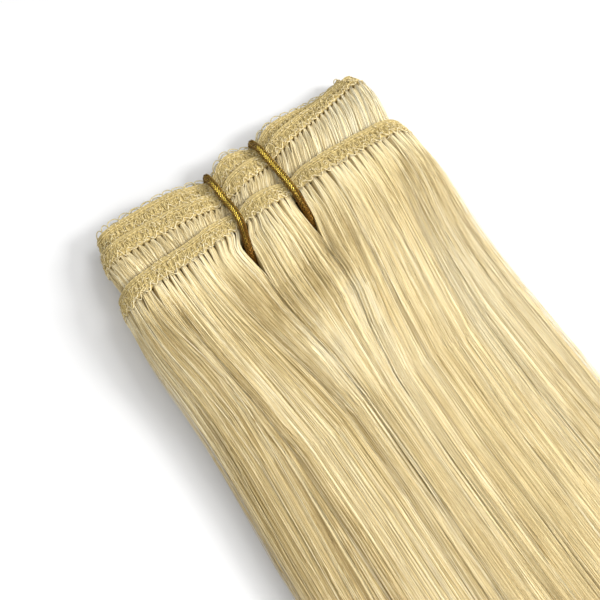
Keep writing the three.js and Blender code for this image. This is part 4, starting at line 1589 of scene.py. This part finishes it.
class WEFT_OT_track(bpy.types.Operator):
    """Make the wound track: its knit strip, its threads and its looped edge"""

    bl_idname = "weft.track"
    bl_label = "Track"

    def execute(self, context):
        sizes, colours = context.scene.weft_sizes, context.scene.weft_colours
        thread, bar, pitch = sizes.thread / MM, sizes.bar / MM, sizes.zigzag / MM
        track = wind_track(TRACK_STEP)
        add_strip(track, bar, sewn_binding(colours))
        plain = spun_thread("spun_thread", colours.thread, colours.track, colours)
        pale = spun_thread("spun_thread_pale", colours.thread_pale, colours.thread, colours)
        even = np.arange(0.5, track["along"][-1] - 0.5, THREAD_STEP)
        straight = [thread_line(track, even, *row) for row in STRAIGHT_THREADS]
        add_threads("straight_threads", straight, 0.85 * thread, THREAD_AWAY, plain)
        shown = shown_stations(track)[1:-1]
        zigzags = [zigzag_line(track, shown, zigzag, pitch) for zigzag in ZIGZAGS]
        add_threads("zigzag_threads", zigzags, 0.95 * thread, THREAD_AWAY, pale)
        crossings = [zigzag_line(track, shown, zigzag, pitch) for zigzag in CROSSINGS]
        add_threads("crossing_threads", crossings, 0.7 * thread, THREAD_AWAY, plain)
        uprights = upright_stitches(track, bar)
        add_short_threads("upright_stitches", uprights, 0.9 * thread, THREAD_SIDES, plain)
        add_short_threads("stray_fibres", stray_fibres(track), 0.6 * thread, FIBRE_SIDES, pale)
        loops = [loop_line(track, sizes.loop_width / MM, sizes.loop_height / MM)]
        looped = spun_thread("spun_thread_loops", colours.loop, colours.track, colours)
        add_threads("edge_loops", loops, 1.1 * thread, LOOP_AWAY, looped)
        return {"FINISHED"}


# Ties


def tie_route(tie):
    """A tie's closed route: taut over the turns, down through the parting, and back underneath."""
    off = TIE_DIAMETER / 2
    rest = (TIE_DIAMETER + GAP) / 2
    edge_drop = TRACK_HEIGHT * np.sin(LEAN_FRONT)
    rise = TRACK_HEIGHT * np.cos(LEAN_FRONT)

    def over(turn, x):
        return front_run(turn, x) + TRACK_THICKNESS / 2 + off

    top = level("upper", tie.top) + 0.76 * rise
    corner = over(UPPER, tie.top) - edge_drop
    middle = level("middle", tie.stitch)
    front = level("front", tie.stitch)
    slant = mix(tie.top, tie.stitch, 0.4)
    first = mix(tie.top, tie.stitch, 0.3)
    low = mix(tie.stitch, tie.dive, SLANT_SHARE)
    return np.array([
        (first, top, corner + 2 * GAP),
        (slant, middle + rise, over(MIDDLE, tie.top) - edge_drop + GAP),
        (slant, middle, over(MIDDLE, tie.stitch) + 1.5 * GAP),
        (slant, front + rise, over(FRONT, tie.stitch) - edge_drop + GAP),
        (mix(slant, tie.stitch, 0.5), front, over(FRONT, tie.stitch) + GAP),
        (low, front - rise, over(FRONT, tie.stitch)),
        *((tie.dive, y, height) for y, height in DIVE),
        (low, front - 2 * TIE_DIAMETER, rest),
        (tie.stitch, front + 2 * TIE_DIAMETER, rest),
        (tie.stitch, middle, rest),
        (first, top - TIE_DIAMETER, off + GAP),
        (first, top + off, 2 * off),
        (first, top + off + GAP, BUNDLE_DEPTH / 3),
        (first, top + off + GAP, corner - 1.5 * off),
        (first, top + off, corner),
    ])


def evened(values, rounds):
    """Values round a closed line, each drawn towards its neighbours again and again."""
    for _ in range(rounds):
        values = (np.roll(values, 1) + 2 * values + np.roll(values, -1)) / 4
    return values


def smooth_loop(points, steps):
    """A closed curve through points at even steps, with spacing by the root of their distance."""
    before, after, beyond = (np.roll(points, shift, 0) for shift in (1, -1, -2))

    def root_length(start, end):
        return np.sqrt(np.linalg.norm(end - start, axis=1, keepdims=True))

    first, second, third = root_length(before, points), root_length(points, after), root_length(after, beyond)
    chord = (after - points) / second
    leave = ((points - before) / first - (after - before) / (first + second) + chord) * second
    arrive = (chord - (beyond - points) / (second + third) + (beyond - after) / third) * second
    t = np.linspace(0, 1, 40, endpoint=False)[:, None, None]
    curve = (
        points * (1 + 2 * t) * (1 - t) ** 2 + leave * t * (1 - t) ** 2
        + after * t * t * (3 - 2 * t) + arrive * t * t * (t - 1)
    )
    curve = curve.transpose(1, 0, 2).reshape(-1, 3)
    around = np.concatenate((curve, curve[:1]))
    far = distance_along(around)
    even = np.linspace(0, far[-1], steps, endpoint=False)
    return np.stack([np.interp(even, far, column) for column in around.T], -1), far[-1]


def tie_light(line):
    """Painted shade on a tie below the front stitch line, and how much of its painted highlight shows along
    it.
    """
    below = -line[:, 1]
    shadowed = mix(1.0, 0.45, smoothstep(below, 0, 7))
    lit = mix(1.0, 0.25, smoothstep(below, 0, 5))
    return shadowed, lit * smoothstep(below - below.min(), 1.5, 4)


def add_tie(tie, yarn, material):
    """A dark core with yarns braided over it, half of them winding each way."""
    line, length = smooth_loop(tie_route(tie), TIE_STEPS)
    line[:, 0] = evened(line[:, 0], TIE_EVENING)
    run = unit(np.roll(line, -1, 0) - np.roll(line, 1, 0))
    sideways = np.array((1.0, 0, 0))
    side = unit(sideways - run * (run @ sideways)[:, None])
    up = np.cross(run, side)
    share = np.arange(TIE_STEPS) / TIE_STEPS
    shadowed, lit = tie_light(line)
    turns = round(length / BRAID_PITCH)
    reach = TIE_DIAMETER / 2 - yarn / 2
    bright = unit(PAINTED_HIGHLIGHT_SIDE)
    paths, tones = [line], [np.full(TIE_STEPS, CORE_TONE)]
    for way in (1, -1):
        for k in range(YARNS_EACH_WAY):
            angle = way * 2 * np.pi * (turns * share + k / YARNS_EACH_WAY)
            crossing = np.cos(YARNS_EACH_WAY * angle) * way
            outward = np.cos(angle)[:, None] * side + np.sin(angle)[:, None] * up
            paths.append(line + (reach + BRAID_WAVE * crossing)[:, None] * outward)
            # Painted highlight on the yarns that face the highlight side, and painted shade below the front
            # stitch line; the yarns alternate dark and light by their own colour
            facing = lit * smoothstep(outward @ bright, 0.87, 0.985)
            tones.append(shadowed * mix(0.22 if k % 2 else 0.42, 2.6 if k % 4 else 1.4, facing))
    radii = np.array([reach + 0.05] + [yarn / 2] * (len(paths) - 1))[:, None]
    points, faces, places = tubes(np.stack(paths), radii, up + 0.02 * side, YARN_SIDES, closed=True)
    values = {
        "tone": np.repeat(np.stack(tones).reshape(-1), YARN_SIDES),
        "across": np.repeat(np.tile(share * length, len(paths)), YARN_SIDES),
        "down": np.tile(np.arange(YARN_SIDES) * yarn / 2, len(points) // YARN_SIDES),
    }
    make_piece(tie.name + "_braid", points, faces, material, values, (tie.name,), places)


class WEFT_OT_ties(bpy.types.Operator):
    """Make the two braided elastic ties"""

    bl_idname = "weft.ties"
    bl_label = "Ties"

    def execute(self, context):
        sizes, colours = context.scene.weft_sizes, context.scene.weft_colours
        material = metallic_yarn(colours)
        for tie in TIES:
            add_tie(tie, sizes.yarn / MM, material)
        return {"FINISHED"}


# Stage


def add_floor(scene):
    mesh = bpy.data.meshes.new("paper_floor")
    corners = [(x * FLOOR_REACH, y * FLOOR_REACH, 0) for x, y in ((-1, -1), (1, -1), (1, 1), (-1, 1))]
    mesh.from_pydata(corners, [], [(0, 1, 2, 3)])
    mesh.materials.append(white_paper(scene.weft_colours))
    floor = bpy.data.objects.new("paper_floor", mesh)
    scene.collection.objects.link(floor)


def add_light(scene, row):
    """A soft square light aimed at the track."""
    light = bpy.data.lights.new(row.name, "AREA")
    light.size = row.size * MM
    light.energy = row.power
    lamp = bpy.data.objects.new(row.name, light)
    lamp.location = Vector(row.place) * MM
    lamp.rotation_euler = (LIGHT_AIM - lamp.location).to_track_quat("-Z", "Y").to_euler()
    scene.collection.objects.link(lamp)


def add_sky(scene):
    world = bpy.data.worlds.new("studio")
    world.use_nodes = True
    sky = world.node_tree.nodes["Background"]
    sky.inputs["Color"].default_value = (1, 1, 1, 1)
    sky.inputs["Strength"].default_value = SKY_STRENGTH
    scene.world = world


def add_camera(scene):
    lens = bpy.data.cameras.new("camera")
    lens.lens = CAMERA_LENS
    lens.sensor_width = CAMERA_SENSOR
    lens.clip_start = CAMERA_NEAR
    camera = bpy.data.objects.new("camera", lens)
    back = CAMERA_RIGHT.cross(CAMERA_UP)
    rows = zip(CAMERA_RIGHT, CAMERA_UP, back, CAMERA_PLACE)
    camera.matrix_world = Matrix((*rows, (0, 0, 0, 1)))
    scene.collection.objects.link(camera)
    scene.camera = camera


class WEFT_OT_stage(bpy.types.Operator):
    """Make the paper floor, the soft lights and the camera"""

    bl_idname = "weft.stage"
    bl_label = "Stage"

    def execute(self, context):
        scene = context.scene
        scene.view_settings.view_transform = "Standard"
        add_floor(scene)
        for row in LIGHTS:
            add_light(scene, row)
        add_sky(scene)
        add_camera(scene)
        return {"FINISHED"}


class WEFT_PT_panel(bpy.types.Panel):
    """The weft's sizes, colours and operators"""

    bl_idname = "WEFT_PT_panel"
    bl_label = "Hair Weft"
    bl_space_type = "VIEW_3D"
    bl_region_type = "UI"
    bl_category = "Weft"

    def draw(self, context):
        for operator in OPERATORS:
            self.layout.operator(operator.bl_idname)
        for group in (context.scene.weft_sizes, context.scene.weft_colours):
            for name in group.bl_rna.properties.keys():
                if name not in ("rna_type", "name"):
                    self.layout.prop(group, name)


OPERATORS = (WEFT_OT_stage, WEFT_OT_outer_hair, WEFT_OT_inner_hair, WEFT_OT_track, WEFT_OT_ties)
CLASSES = (WeftSizes, WeftColours, *OPERATORS, WEFT_PT_panel)


def register():
    for made in CLASSES:
        bpy.utils.register_class(made)
    bpy.types.Scene.weft_sizes = PointerProperty(type=WeftSizes)
    bpy.types.Scene.weft_colours = PointerProperty(type=WeftColours)


def unregister():
    del bpy.types.Scene.weft_colours
    del bpy.types.Scene.weft_sizes
    for made in reversed(CLASSES):
        bpy.utils.unregister_class(made)


def main():
    register()
    bpy.ops.weft.stage()
    bpy.ops.weft.outer_hair()
    bpy.ops.weft.inner_hair()
    bpy.ops.weft.track()
    bpy.ops.weft.ties()


if __name__ == "__main__":
    main()
